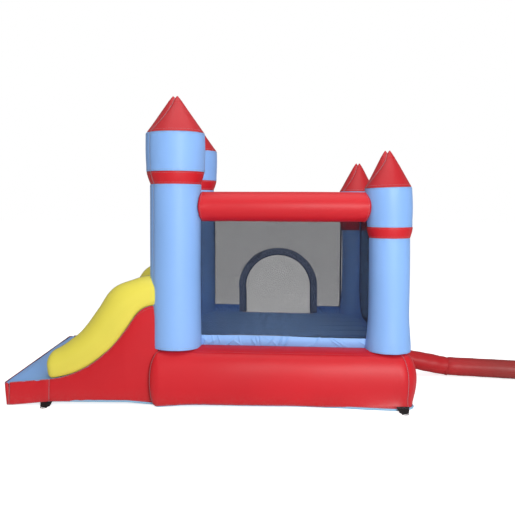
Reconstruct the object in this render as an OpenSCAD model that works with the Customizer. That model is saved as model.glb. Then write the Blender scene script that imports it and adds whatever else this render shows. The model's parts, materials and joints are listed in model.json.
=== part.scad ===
// Inflatable bounce house with four turrets, net walls, a side slide and a blower tube.
// X runs from the slide to the rear wall, Y across the house, Z up. Millimetres.
// The origin is on the ground, at the middle of the house's own footprint.

/* [Bounce base] */
// Length of the house base along X
house_l = 2340; // [2000:10:3200]
// Width of the house base along Y
house_w = 2330; // [1900:10:3200]
// Height of the bounce floor above the ground
base_h = 510; // [400:5:650]
// How far the side wall leans in at its top seam
wall_top_in = 90; // [30:5:120]
// How far the side wall leans in at its bottom seam
wall_foot_in = 40; // [10:5:80]
// Plan radius of the base corners
corner_r = 170; // [140:5:260]
// Thickness that stands for every sewn fabric skin
skin_t = 4; // [2:0.5:6]
// How far the sewn flange stands out at the foot of the walls
flange_w = 22; // [8:1:30]
// Number of webs under the bounce floor
web_count = 6; // [3:1:9]
// Air gap between a web's end and the end wall
web_gap = 160; // [80:10:250]
// Radius of the air holes in the webs
web_hole_r = 70; // [30:5:110]

/* [Turrets] */
// Distance of a turret's axis from the end of the base
turret_inset_x = 220; // [200:5:300]
// Distance of a turret's axis from the side of the base
turret_inset_y = 243; // [215:1:300]
// Radius of the two front columns, beside the slide
front_col_r = 225; // [180:1:230]
// Height of the front columns' top seam
front_col_top = 1960; // [1935:5:2400]
// Radius of the front drums
front_drum_r = 250; // [235:1:270]
// Height of the front collars
front_collar_h = 110; // [60:1:160]
// Height of the front drums
front_drum_h = 336; // [200:1:450]
// Height of the front cones
front_cone_h = 328; // [200:1:450]
// Radius of the two rear columns
rear_col_r = 180; // [150:1:200]
// Height of the rear columns' top seam
rear_col_top = 1493; // [1440:1:1530]
// Radius of the rear drums
rear_drum_r = 198; // [185:1:215]
// Height of the rear collars
rear_collar_h = 97; // [60:1:100]
// Height of the rear drums
rear_drum_h = 347; // [320:1:450]
// Height of the rear cones
rear_cone_h = 329; // [200:1:450]
// How far a drum swells at its middle
drum_swell = 7; // [0:1:15]
// Radius of a cone's closed tip
cone_tip_r = 8; // [4:1:15]

/* [Beams and nets] */
// Radius of the top beams
beam_r = 128; // [90:1:140]
// Height of the top beams' axis
beam_z = 1766; // [1740:1:1800]
// Thickness of a net sheet
net_t = 3; // [2:0.5:5]
// Height of the fabric band under each side net
band_h = 90; // [50:5:160]
// Gap left between a net's edge and a turret
net_gap = 1; // [0.5:0.5:5]
// Width of the arched door in the far net
door_w = 826; // [560:10:900]
// Height of the door's crown above the floor
door_h = 720; // [600:10:900]
// Distance of the door's middle from the house's middle
door_x = 29; // [-60:1:80]
// Width of the binding sewn round the door
binding_w = 60; // [30:5:100]
// Thickness of the door binding
binding_t = 9; // [6:0.5:14]
// Bottom corner radius of the rear net window
window_r = 300; // [150:10:400]
// Height of the rear window's sill above the floor
window_sill = 60; // [30:5:150]
// Width of the fabric border left round the rear window
window_border = 75; // [40:5:120]

/* [Slide] */
// Width of the slide across Y
slide_w = 2096; // [1800:2:2300]
// Height of the slide's deck at the house
deck_h = 890; // [860:5:1100]
// Height of the slide's front edge
tip_h = 206; // [150:2:260]
// Length of the straight landing
landing_l = 385; // [250:5:600]
// Slope of the landing
landing_angle = 5; // [1:0.5:9]
// Radius of the run-out curve
runout_r = 830; // [650:5:850]
// Steepest slope of the slide
chute_angle = 55; // [45:1:58]
// Radius of the crest curve
crest_r = 170; // [100:5:240]
// Radius of the side bolsters
bolster_r = 128; // [90:1:150]
// How far a bolster's axis sits inside the slide's side
bolster_inset = 118; // [100:1:180]
// Depth of the step up to the slide's deck
step_d = 270; // [200:5:330]
// Number of webs inside the slide
slide_web_count = 3; // [2:1:5]

/* [Blower tube] */
// Radius of the fabric blower tube
duct_r = 94; // [70:1:110]
// Height of the sleeve's axis where it leaves the rear wall
port_z = 222; // [200:1:250]
// Distance of the tube's crease from the rear wall
crease_dx = 595; // [480:5:700]
// Sideways angle of the tube after its crease
duct_yaw = -12; // [-20:1:20]
// Length of the tube after its crease
duct_l = 900; // [650:10:1500]
// Length of the mouth piece that takes the blower's nozzle
mouth_l = 150; // [100:5:200]
// Width of the hem round the mouth
cuff_l = 50; // [30:1:70]
// Extra thickness of the hem, strap and buckle seat
cuff_t = 3; // [2:0.5:5]
// Width of the tie strap
strap_w = 25; // [15:1:40]

/* [Anchors] */
// Thickness of the bar that a D-ring is bent from, as a radius
ring_bar_r = 3; // [2:0.5:4]
// Inside width of a D-ring
ring_w = 52; // [40:1:70]
// Length of a D-ring's straight legs
ring_leg = 14; // [6:1:25]
// Length of the slide's webbing tabs
slide_tab_l = 62; // [50:1:110]
// Length of the rear webbing tabs
rear_tab_l = 160; // [50:1:200]
// Thickness of the webbing
webbing_t = 3; // [2:0.5:4]
// Distance of the rear tabs from the rear end of the base
anchor_rear_inset = 130; // [125:5:400]
// Distance of the slide tabs from the slide's front edge
anchor_tip_inset = 370; // [150:5:600]

/* [Deflation zip] */
// Length of the zip tape
zip_l = 340; // [200:10:450]
// Height of the zip tape
zip_h = 30; // [20:1:40]
// Distance of the zip's middle from the house's middle
zip_y = 620; // [450:10:660]
// Length of the zip's slider
slider_l = 16; // [10:1:25]
// Height of the storm flap over the zip
flap_h = 66; // [55:1:90]
// Thickness of the storm flap
flap_t = 2; // [1.5:0.5:3]

/* [Hidden] */
$fn = 72;
LONG = 5000;
towers = ["front_near", "front_far", "rear_near", "rear_far"];
tower_parts = ["column", "collar", "drum", "cone"];

// Fabric and fitting colours
red = "#d9303f";
sky = "#8fbcf2";
yellow = "#eade6a";
navy = "#232c44";
net_grey = "#3c4456";
piping = "#8fc4e4";
black = "#17181c";
steel = "#b9bcc0";

// Outline of the base wall: how far it leans in at height share t, and its points
wall_steps = 20;
lean_power = 3;
function wall_lean(t) =
    (t < 0.5 ? wall_foot_in : wall_top_in) * pow(abs(2 * t - 1), lean_power);
function wall_z(i) = skin_t + (base_h - 2 * skin_t) * i / wall_steps;
function wall_line(shift) =
    [for (i = [0:wall_steps]) [-wall_lean(wall_z(i) / base_h) - shift, wall_z(i)]];
function reversed(list) = [for (i = [len(list) - 1:-1:0]) list[i]];

// Turret places and sizes
tower_x = house_l / 2 - turret_inset_x;
tower_y = house_w / 2 - turret_inset_y;
rear_collar_top = rear_col_top + rear_collar_h;
net_top = beam_z - beam_r;
drum_steps = 8;

// Slide outline, from the front edge up to the house
slide_end_x = -house_l / 2 - 6;
slide_sheet_z = skin_t / cos(chute_angle);
foot_h = tip_h + landing_l * tan(landing_angle);
runout_rise = runout_r * (cos(landing_angle) - cos(chute_angle));
crest_rise = crest_r * (1 - cos(chute_angle));
chute_l = (deck_h - foot_h - runout_rise - crest_rise) / sin(chute_angle);
runout_run = runout_r * (sin(chute_angle) - sin(landing_angle));
chute_run = chute_l * cos(chute_angle);
crest_run = crest_r * sin(chute_angle);
foot_x = slide_end_x - crest_run - chute_run - runout_run;
tip_x = foot_x - landing_l;
runout_top = [foot_x + runout_run, foot_h + runout_rise];
chute_top = runout_top + [chute_run, chute_l * sin(chute_angle)];
arc_steps = 11;
slide_back_gap = 0.5;

// Each slide point is [x, z, slope]
function runout_point(a) = [foot_x + runout_r * (sin(a) - sin(landing_angle)),
                            foot_h + runout_r * (cos(landing_angle) - cos(a)), a];
function crest_point(a) = [chute_top.x + crest_r * (sin(chute_angle) - sin(a)),
                           chute_top.y + crest_r * (cos(a) - cos(chute_angle)), a];
curve_points = concat(
    [for (i = [0:arc_steps])
        runout_point(landing_angle + (chute_angle - landing_angle) * i / arc_steps)],
    [for (i = [0:arc_steps]) crest_point(chute_angle * (1 - i / arc_steps))]);
slide_points = concat([[tip_x, tip_h, landing_angle]], curve_points);
function slide_line(drop) = [for (p = slide_points) [p.x, p.y - drop]];

// Bolster: a tube that follows the slide's side, with a domed lower end
bolster_gap = 4;
bolster_sides = 16;
dome_steps = 5;
bolster_y = slide_w / 2 - bolster_inset;
function normal_shift(p, d) = [p.x - sin(p[2]) * d, p.y + cos(p[2]) * d, p[2]];
// Rings are [x, z, slope, radius]
function dome_ring(i, r, lift) =
    let (a = 90 * (1 - i / dome_steps), run = r * (1 - sin(a)),
         c = normal_shift(runout_point(asin(sin(landing_angle) + run / runout_r)), lift))
    [c.x, c.y, c[2], r * max(cos(a), 0.04)];
function bolster_rings(r, lift, back) = concat(
    [for (i = [0:dome_steps - 1]) dome_ring(i, r, lift)],
    [for (i = [1:len(curve_points) - 2])
        let (c = normal_shift(curve_points[i], lift))
        if (c.x > curve_points[0].x + r && c.x < slide_end_x - crest_r / 4) [c.x, c.y, c[2], r]],
    [[slide_end_x - back, deck_h + lift, 0, r]]);
function ring_points(ring) = [for (j = [0:bolster_sides - 1])
    let (a = 360 * j / bolster_sides)
    [ring[0] - sin(ring[2]) * ring[3] * sin(a), ring[3] * cos(a),
     ring[1] + cos(ring[2]) * ring[3] * sin(a)]];

// Blower tube places
port_x = house_l / 2;
crease_x = port_x + crease_dx;
duct_z = duct_r + cuff_t + 1;
duct_in_r = duct_r - skin_t;
mouth_hem_t = 1;
sleeve_end = 55;
knuckle_vent_r = 60;
sleeve_slope = atan2(port_z - duct_z, crease_dx);
tube_l = duct_l - mouth_l;

// Anchor places: side wall line at the foot, on the house and on the slide
ring_gap = 0.3;
eye_r = ring_bar_r + ring_gap + webbing_t;
eye_z = eye_r + 0.5;
ring_r = ring_w / 2;
anchor_rear_x = house_l / 2 - anchor_rear_inset;
anchor_slide_x = tip_x + anchor_tip_inset;
rear_tab_y = house_w / 2 - wall_foot_in;
slide_tab_y = slide_w / 2;
tab_w = ring_w - 6;

// Zip places
zip_z = base_h / 2;
zip_x = house_l / 2;
zip_tape_t = 2.5;
slider_gap = 0.4;
slider_t = 5;
slider_h = 11;
pull_l = 20;
flap_x = zip_x + zip_tape_t + slider_gap + slider_t + 3;
flap_knuckle_r = 3;
flap_over = 30;
flap_hinge_z = zip_z + flap_h / 2 + 6;

// ---- Base ----

module wall_profile() {
    polygon(concat(wall_line(0), reversed(wall_line(skin_t))));
}

// Sweeps a wall profile, whose x is the distance outwards, round the base's plan
module round_base() {
    side_x = house_l - 2 * corner_r;
    side_y = house_w - 2 * corner_r;
    for (s = [0, 1]) {
        mirror([0, s, 0]) translate([0, house_w / 2, 0]) rotate([90, 0, 90])
            linear_extrude(side_x, center = true) children();
        mirror([s, 0, 0]) translate([house_l / 2, 0, 0]) rotate([90, 0, 0])
            linear_extrude(side_y, center = true) children();
    }
    for (sx = [0, 1], sy = [0, 1])
        mirror([sx, 0, 0]) mirror([0, sy, 0])
            translate([house_l / 2 - corner_r, house_w / 2 - corner_r, 0])
                rotate_extrude(angle = 90) translate([corner_r, 0]) children();
}

module rounded_plan(inset) {
    r = corner_r - inset;
    square([house_l - 2 * inset, house_w - 2 * corner_r], center = true);
    square([house_l - 2 * corner_r, house_w - 2 * inset], center = true);
    for (sx = [-1, 1], sy = [-1, 1])
        translate([sx * (house_l / 2 - corner_r), sy * (house_w / 2 - corner_r)]) circle(r);
}

module port_bore(r) {
    translate([crease_x, 0, duct_z]) rotate([0, -90 + sleeve_slope, 0])
        translate([0, 0, sleeve_end]) cylinder(r = r, h = crease_dx + 200);
}

module base_wall() color(red)
    difference() {
        round_base() wall_profile();
        port_bore(duct_r);
    }

module ground_sheet() color(piping) linear_extrude(skin_t) {
    rounded_plan(wall_foot_in - flange_w);
    translate([tip_x - flange_w / 2, -slide_w / 2 - flange_w / 2])
        square([-house_l / 2 + corner_r - tip_x, slide_w + flange_w]);
}

module base_ledge() color(red) translate([0, 0, base_h - skin_t]) linear_extrude(skin_t)
    difference() {
        rounded_plan(wall_top_in);
        square([2 * tower_x, 2 * tower_y], center = true);
    }

module floor_sheet() color(sky) translate([0, 0, base_h - skin_t])
    linear_extrude(skin_t) square([2 * tower_x, 2 * tower_y], center = true);

module floor_baffles() color(sky) {
    web_l = house_l - 2 * web_gap;
    web_h = base_h - 2 * skin_t;
    pitch = 2 * tower_y / (web_count + 1);
    holes = 5;
    for (i = [1:web_count])
        translate([0, -tower_y + i * pitch, skin_t]) difference() {
            translate([-web_l / 2, -skin_t / 2, 0]) cube([web_l, skin_t, web_h]);
            for (k = [1:holes])
                translate([-web_l / 2 + k * web_l / (holes + 1), 0, web_h / 2]) rotate([90, 0, 0])
                    cylinder(r = web_hole_r, h = 3 * skin_t, center = true);
        }
}

// ---- Turrets ----

module hollow_cone(r1, r2, h) difference() {
    cylinder(r1 = r1, r2 = r2, h = h);
    cylinder(r1 = r1 - skin_t, r2 = r2 - skin_t, h = h);
}

module column(r, top) color(sky) translate([0, 0, base_h]) difference() {
    cylinder(r = r, h = top - base_h);
    translate([0, 0, -1]) cylinder(r = r - skin_t, h = top - base_h + 2);
}

module collar(r1, r2, z, h) color(red) translate([0, 0, z]) hollow_cone(r1, r2, h);

function drum_line(r, h) = [for (i = [0:drum_steps])
    [r + drum_swell * sin(180 * i / drum_steps), h * i / drum_steps]];

module drum_solid(r, h) rotate_extrude() polygon(concat([[0, 0]], drum_line(r, h), [[0, h]]));

module drum(r, z, h) color(sky) translate([0, 0, z]) rotate_extrude()
    polygon(concat(drum_line(r, h), reversed(drum_line(r - skin_t, h))));

module cone(r, z, h) color(red) translate([0, 0, z]) difference() {
    cylinder(r1 = r, r2 = cone_tip_r, h = h);
    cylinder(r1 = r - skin_t, r2 = cone_tip_r / 2, h = h - 2 * cone_tip_r);
}

module at_tower(name) {
    sx = name == "front_near" || name == "front_far" ? -1 : 1;
    sy = name == "front_near" || name == "rear_near" ? -1 : 1;
    translate([sx * tower_x, sy * tower_y, 0]) children();
}

module tower_part(name, part) {
    front = name == "front_near" || name == "front_far";
    col_r = front ? front_col_r : rear_col_r;
    drum_r = front ? front_drum_r : rear_drum_r;
    col_top = front ? front_col_top : rear_col_top;
    collar_h = front ? front_collar_h : rear_collar_h;
    drum_h = front ? front_drum_h : rear_drum_h;
    cone_h = front ? front_cone_h : rear_cone_h;
    at_tower(name) {
        if (part == "column") column(col_r, col_top);
        if (part == "collar") collar(col_r, drum_r, col_top, collar_h);
        if (part == "drum") drum(drum_r, col_top + collar_h, drum_h);
        if (part == "cone") cone(drum_r, col_top + collar_h + drum_h, cone_h);
    }
}

// The turrets' outer bodies, grown by gap, which beams and nets are cut back from
module tower_bodies(gap) {
    for (n = ["front_near", "front_far"]) at_tower(n)
        cylinder(r = front_col_r + gap, h = front_col_top);
    for (n = ["rear_near", "rear_far"]) at_tower(n) {
        cylinder(r = rear_col_r + gap, h = rear_col_top);
        translate([0, 0, rear_col_top])
            cylinder(r1 = rear_col_r + gap, r2 = rear_drum_r + gap, h = rear_collar_h);
        translate([0, 0, rear_collar_top]) drum_solid(rear_drum_r + gap, rear_drum_h);
    }
}

// ---- Beams and nets ----

module beam(length) difference() {
    cylinder(r = beam_r, h = length, center = true);
    cylinder(r = beam_r - skin_t, h = length + 2, center = true);
}

module beam_along_x(y) color(red) difference() {
    translate([0, y, beam_z]) rotate([0, 90, 0]) beam(2 * tower_x);
    tower_bodies(0);
}

module beam_along_y(x) color(red) difference() {
    translate([x, 0, beam_z]) rotate([90, 0, 0]) beam(2 * tower_y);
    tower_bodies(0);
}

module beam_near() beam_along_x(-tower_y);
module beam_far() beam_along_x(tower_y);
module beam_front() beam_along_y(-tower_x);
module beam_rear() beam_along_y(tower_x);

// A sheet of thickness t between z0 and z1 in a side wall's plane, cut clear of the turrets
module side_sheet(y, z0, z1, t) difference() {
    translate([-tower_x, y - t / 2, z0]) cube([2 * tower_x, t, z1 - z0]);
    tower_bodies(net_gap);
}

module door_shape(grow) {
    r = door_w / 2 + grow;
    spring = base_h + door_h - door_w / 2;
    translate([door_x, spring]) circle(r);
    translate([door_x - r, base_h - 1]) square([2 * r, spring - base_h + 1]);
}

module door_cutter(grow, t) translate([0, tower_y, 0]) rotate([90, 0, 0])
    linear_extrude(t, center = true) door_shape(grow);

module net_near() color(net_grey) side_sheet(-tower_y, base_h + band_h, net_top, net_t);
module band_near() color(sky) side_sheet(-tower_y, base_h, base_h + band_h, net_t);

module net_far() color(net_grey) difference() {
    side_sheet(tower_y, base_h + band_h, net_top, net_t);
    door_cutter(binding_w / 2, LONG / 10);
}

module band_far() color(sky) difference() {
    side_sheet(tower_y, base_h, base_h + band_h, net_t);
    door_cutter(binding_w / 2, LONG / 10);
}

module door_binding() color(navy) intersection() {
    difference() {
        door_cutter(binding_w / 2, binding_t);
        door_cutter(-binding_w / 2, LONG / 10);
    }
    translate([door_x, tower_y, base_h + LONG / 2]) cube(LONG, center = true);
}

// The rear wall is a fabric panel with a net window let into it
module rear_plane(t) translate([tower_x, 0, 0]) rotate([90, 0, 90])
    linear_extrude(t, center = true) children();

module window_shape() {
    half = tower_y - rear_drum_r - drum_swell - net_gap - window_border;
    low = base_h + window_sill;
    for (s = [-1, 1]) translate([s * (half - window_r), low + window_r]) circle(window_r);
    translate([-half + window_r, low]) square([2 * (half - window_r), window_r]);
    translate([-half, low + window_r]) square([2 * half, net_top - low - window_r]);
}

module rear_panel() color(sky) difference() {
    rear_plane(net_t) {
        translate([-tower_y, base_h]) square([2 * tower_y, net_top - base_h]);
    }
    rear_plane(LONG / 10) window_shape();
    tower_bodies(net_gap);
}

module net_rear() color(net_grey) rear_plane(net_t) window_shape();

// ---- Slide ----

module slide_side_shape() polygon(concat([[tip_x, skin_t]], slide_line(slide_sheet_z),
                                         [[slide_end_x, skin_t]]));

module slide_slice(y0, width) translate([0, y0 + width, 0]) rotate([90, 0, 0])
    linear_extrude(width) children();

module slide_surface() color(sky) slide_slice(-slide_w / 2, slide_w)
    polygon(concat(slide_line(0), reversed(slide_line(slide_sheet_z))));

module slide_wall_near() color(red) slide_slice(-slide_w / 2, skin_t) slide_side_shape();
module slide_wall_far() color(red) slide_slice(slide_w / 2 - skin_t, skin_t) slide_side_shape();

module slide_front() color(red) translate([tip_x, -slide_w / 2 + skin_t, skin_t])
    cube([skin_t, slide_w - 2 * skin_t, tip_h - slide_sheet_z - skin_t]);

module slide_back() color(red)
    translate([slide_end_x - skin_t, -slide_w / 2 + skin_t, base_h])
        cube([skin_t, slide_w - 2 * skin_t, deck_h - slide_sheet_z - base_h - slide_back_gap]);

module slide_baffles() color(sky) {
    pitch = slide_w / (slide_web_count + 1);
    front_gap = 120;
    for (i = [1:slide_web_count]) intersection() {
        slide_slice(-slide_w / 2 + i * pitch - skin_t / 2, skin_t) difference() {
            slide_side_shape();
            for (k = [1:3]) translate([slide_end_x - k * web_hole_r * 4, tip_h / 2 + skin_t])
                circle(min(web_hole_r, tip_h / 3));
        }
        translate([tip_x + front_gap, -slide_w, 0])
            cube([slide_end_x - 2 * skin_t - tip_x - front_gap, 2 * slide_w, LONG]);
    }
}

module tube(rings) {
    points = [for (r = rings) each ring_points(r)];
    n = bolster_sides;
    last = len(rings) - 1;
    sides = [for (i = [0:last - 1], j = [0:n - 1])
        [i * n + j, (i + 1) * n + j, (i + 1) * n + (j + 1) % n, i * n + (j + 1) % n]];
    caps = [[for (j = [0:n - 1]) j], [for (j = [n - 1:-1:0]) last * n + j]];
    polyhedron(points, concat(sides, caps));
}

module bolster(y) color(yellow) translate([0, y, 0]) difference() {
    tube(bolster_rings(bolster_r, bolster_r + bolster_gap, 0));
    tube(bolster_rings(bolster_r - skin_t, bolster_r + bolster_gap, skin_t));
}

module bolster_near() bolster(-bolster_y);
module bolster_far() bolster(bolster_y);

module slide_step() color(sky) {
    half = tower_y - front_col_r - skin_t;
    x0 = slide_end_x;
    translate([x0, -half, base_h]) difference() {
        cube([step_d, 2 * half, deck_h - base_h]);
        translate([skin_t, skin_t, skin_t])
            cube([step_d - 2 * skin_t, 2 * (half - skin_t), deck_h - base_h - 2 * skin_t]);
    }
}

// ---- Blower tube ----

module duct_sleeve() color(red) difference() {
    port_bore(duct_r);
    port_bore(duct_in_r);
    translate([-LONG / 2 + port_x, 0, 0]) cube([LONG - 2 * skin_t, LONG, LONG], center = true);
    translate([crease_x, 0, duct_z]) sphere(duct_r + 0.5);
    translate([port_x, 0, 0]) rotate([90, 0, 0]) linear_extrude(4 * duct_r, center = true)
        polygon(concat(wall_line(0), [[-house_l / 4, base_h], [-house_l / 4, 0]]));
}

// Places children with +Z along the laid tube, the origin at the crease
module along_duct() translate([crease_x, 0, duct_z]) rotate([0, 0, duct_yaw])
    rotate([0, 90, 0]) children();

module duct() color(red) difference() {
    union() {
        translate([crease_x, 0, duct_z]) sphere(duct_r);
        along_duct() cylinder(r = duct_r, h = tube_l);
    }
    translate([crease_x, 0, duct_z]) sphere(duct_in_r);
    along_duct() cylinder(r = duct_in_r, h = tube_l + 1);
    translate([crease_x, 0, duct_z]) rotate([0, -90, 0]) cylinder(r = knuckle_vent_r, h = duct_r);
}

module duct_mouth() color(red) along_duct() translate([0, 0, tube_l]) difference() {
    cylinder(r = duct_r, h = mouth_l);
    translate([0, 0, -1]) cylinder(r = duct_in_r - mouth_hem_t, h = mouth_l + 2);
}

module duct_hoop(z, w) along_duct() translate([0, 0, z]) difference() {
    cylinder(r = duct_r + cuff_t, h = w);
    translate([0, 0, -1]) cylinder(r = duct_r, h = w + 2);
}

module duct_cuff() color(navy) duct_hoop(duct_l - cuff_l, cuff_l);
module duct_strap() color(black) duct_hoop(tube_l + strap_w, strap_w);

module duct_buckle() color(black) along_duct() {
    bar = 6;
    length = 44;
    depth = 10;
    translate([-duct_r - cuff_t - depth, -length / 2, tube_l + strap_w - bar]) difference() {
        cube([depth, length, strap_w + 2 * bar]);
        for (y = [bar, length / 2 + bar / 2])
            translate([-1, y, bar]) cube([depth - 3, length / 2 - 1.5 * bar, strap_w]);
    }
}

// ---- Anchors ----

// Places children at an anchor: x is along the wall, +Y points away from the house
module at_anchor(x, y, far) mirror([0, far ? 0 : 1, 0]) translate([x, y, 0]) children();

module anchor_tab(tab_l, hold) difference() {
    union() {
        translate([-tab_w / 2, -hold, skin_t]) cube([tab_w, tab_l + hold, webbing_t]);
        translate([-tab_w / 2, tab_l, eye_z]) rotate([0, 90, 0]) cylinder(r = eye_r, h = tab_w);
    }
    translate([-tab_w, tab_l, eye_z]) rotate([0, 90, 0])
        cylinder(r = ring_bar_r + ring_gap, h = 2 * tab_w);
}

module anchor_tabs() color(black) for (far = [false, true]) {
    at_anchor(anchor_rear_x, rear_tab_y + flange_w, far) anchor_tab(rear_tab_l, flange_w - 3);
    at_anchor(anchor_slide_x, slide_tab_y + flange_w, far) anchor_tab(slide_tab_l, skin_t);
}

module d_ring(tab_l) color(steel) translate([0, tab_l, eye_z]) {
    bend = ring_r + ring_bar_r;
    translate([-bend, 0, 0]) rotate([0, 90, 0]) cylinder(r = ring_bar_r, h = 2 * bend);
    for (s = [-1, 1]) translate([s * bend, 0, 0]) {
        sphere(ring_bar_r);
        rotate([-90, 0, 0]) cylinder(r = ring_bar_r, h = ring_leg);
    }
    translate([0, ring_leg, 0]) rotate_extrude(angle = 180)
        translate([bend, 0]) circle(ring_bar_r);
}

module ring_slide_near() at_anchor(anchor_slide_x, slide_tab_y + flange_w, false) d_ring(slide_tab_l);
module ring_slide_far() at_anchor(anchor_slide_x, slide_tab_y + flange_w, true) d_ring(slide_tab_l);
module ring_rear_near() at_anchor(anchor_rear_x, rear_tab_y + flange_w, false) d_ring(rear_tab_l);
module ring_rear_far() at_anchor(anchor_rear_x, rear_tab_y + flange_w, true) d_ring(rear_tab_l);

// ---- Deflation zip ----

module zip_tape() color(navy) translate([zip_x, zip_y - zip_l / 2, zip_z - zip_h / 2])
    cube([zip_tape_t, zip_l, zip_h]);

module zip_slider() color(steel)
    translate([zip_x + zip_tape_t + slider_gap, zip_y - zip_l / 2 + slider_l / 2, zip_z]) {
        translate([0, 0, -slider_h / 2]) cube([slider_t, slider_l, slider_h]);
        translate([slider_t / 2, slider_l / 4, -slider_h / 2 - pull_l])
            cube([slider_t / 3, slider_l / 2, pull_l]);
    }

module zip_flap() color(red) translate([0, zip_y - zip_l / 2 - flap_over / 2, 0]) {
    length = zip_l + flap_over;
    hinge_x = zip_x + flap_knuckle_r + 1;
    translate([hinge_x, 0, flap_hinge_z]) rotate([-90, 0, 0])
        cylinder(r = flap_knuckle_r, h = length);
    translate([hinge_x, 0, flap_hinge_z - flap_t / 2])
        cube([flap_x + flap_t - hinge_x, length, flap_t]);
    translate([flap_x, 0, flap_hinge_z - flap_h]) cube([flap_t, length, flap_h]);
}

for (t = towers, p = tower_parts)
    tower_part(t, p);
ground_sheet();
base_wall();
base_ledge();
floor_sheet();
floor_baffles();
slide_surface();
slide_wall_near();
slide_wall_far();
slide_front();
slide_back();
slide_baffles();
bolster_near();
bolster_far();
slide_step();
beam_near();
beam_far();
beam_front();
beam_rear();
net_near();
band_near();
net_far();
band_far();
door_binding();
net_rear();
rear_panel();
duct_sleeve();
duct();
duct_mouth();
duct_cuff();
duct_strap();
duct_buckle();
anchor_tabs();
ring_slide_near();
ring_slide_far();
ring_rear_near();
ring_rear_far();
zip_tape();
zip_slider();
zip_flap();
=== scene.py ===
import bpy
import bmesh
import json
import math
import numpy as np
from mathutils import Matrix, Vector

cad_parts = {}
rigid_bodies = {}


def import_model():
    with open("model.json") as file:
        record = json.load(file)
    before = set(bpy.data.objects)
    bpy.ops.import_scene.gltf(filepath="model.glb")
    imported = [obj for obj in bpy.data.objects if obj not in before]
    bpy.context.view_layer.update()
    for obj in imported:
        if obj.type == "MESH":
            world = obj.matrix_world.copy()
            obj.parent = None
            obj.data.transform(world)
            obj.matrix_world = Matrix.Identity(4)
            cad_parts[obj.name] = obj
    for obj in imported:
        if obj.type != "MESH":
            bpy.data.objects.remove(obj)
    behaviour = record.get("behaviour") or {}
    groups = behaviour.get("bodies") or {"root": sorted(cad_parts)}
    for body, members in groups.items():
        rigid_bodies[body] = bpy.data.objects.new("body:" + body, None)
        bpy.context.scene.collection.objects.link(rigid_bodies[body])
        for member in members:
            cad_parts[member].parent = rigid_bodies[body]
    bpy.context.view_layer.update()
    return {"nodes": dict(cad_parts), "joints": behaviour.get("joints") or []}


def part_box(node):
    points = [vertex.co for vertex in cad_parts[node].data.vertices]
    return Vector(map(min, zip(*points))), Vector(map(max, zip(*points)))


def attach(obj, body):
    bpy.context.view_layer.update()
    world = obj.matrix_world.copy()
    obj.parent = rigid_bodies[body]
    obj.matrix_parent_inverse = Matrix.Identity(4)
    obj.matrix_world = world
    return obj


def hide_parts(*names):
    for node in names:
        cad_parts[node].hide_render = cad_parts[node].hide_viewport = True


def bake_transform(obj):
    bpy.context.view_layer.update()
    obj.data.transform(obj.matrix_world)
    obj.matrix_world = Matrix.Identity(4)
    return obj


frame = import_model()
print("frame loaded:", len(frame["nodes"]), "nodes")

tau = 2 * math.pi


# Camera, light and floor

camera = {
    "place": (-0.2506, -6.8409, 1.7854),
    "pitch": 0.0799,       # radians below level
    "yaw": 0.0047,         # radians towards +X
    "roll": 0.003,
    "lens": 46.28,
}


def addCamera():
    data = bpy.data.cameras.new("viewCamera")
    data.lens = camera["lens"]
    data.sensor_width = 36
    data.clip_end = 200
    cy, sy = math.cos(camera["yaw"]), math.sin(camera["yaw"])
    cp, sp = math.cos(camera["pitch"]), math.sin(camera["pitch"])
    ahead = Vector((sy * cp, cy * cp, -sp))
    right = Vector((cy, -sy, 0))
    down = ahead.cross(right)
    cr, sr = math.cos(camera["roll"]), math.sin(camera["roll"])
    right, down = right * cr - down * sr, right * sr + down * cr
    turn = Matrix((right, -down, -ahead)).transposed().to_4x4()
    cam = bpy.data.objects.new("viewCamera", data)
    cam.matrix_world = Matrix.Translation(camera["place"]) @ turn
    bpy.context.collection.objects.link(cam)
    bpy.context.scene.camera = cam


studio = {
    "floorColour": (0.84, 0.84, 0.85),
    "floorGlow": 0.72,          # keeps the floor as pale as the background
    "skyLight": 0.34,           # light that the pale room gives
    "keyPlace": (2.9, -10.1, 3.1),
    "keyAim": (0.0, 0.0, 1.0),
    "keySize": 3.2,
    "keyPower": 590,
    "topPlace": (0.0, -1.5, 6.5),
    "topSize": 6.0,
    "topPower": 190,
    "innerPlace": (0.1, -0.74, 1.35),
    "innerAim": (0.1, 1.0, 1.0),
    "innerSize": 1.2,
    "innerPower": 7.5,
}


def addLight(name, place, aim, size, power):
    data = bpy.data.lights.new(name, "AREA")
    data.shape = "SQUARE"
    data.size = size
    data.energy = power
    lamp = bpy.data.objects.new(name, data)
    aimed = (Vector(aim) - Vector(place)).to_track_quat("-Z", "Y").to_matrix().to_4x4()
    lamp.matrix_world = Matrix.Translation(place) @ aimed
    lamp.visible_camera = False
    bpy.context.collection.objects.link(lamp)


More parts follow.
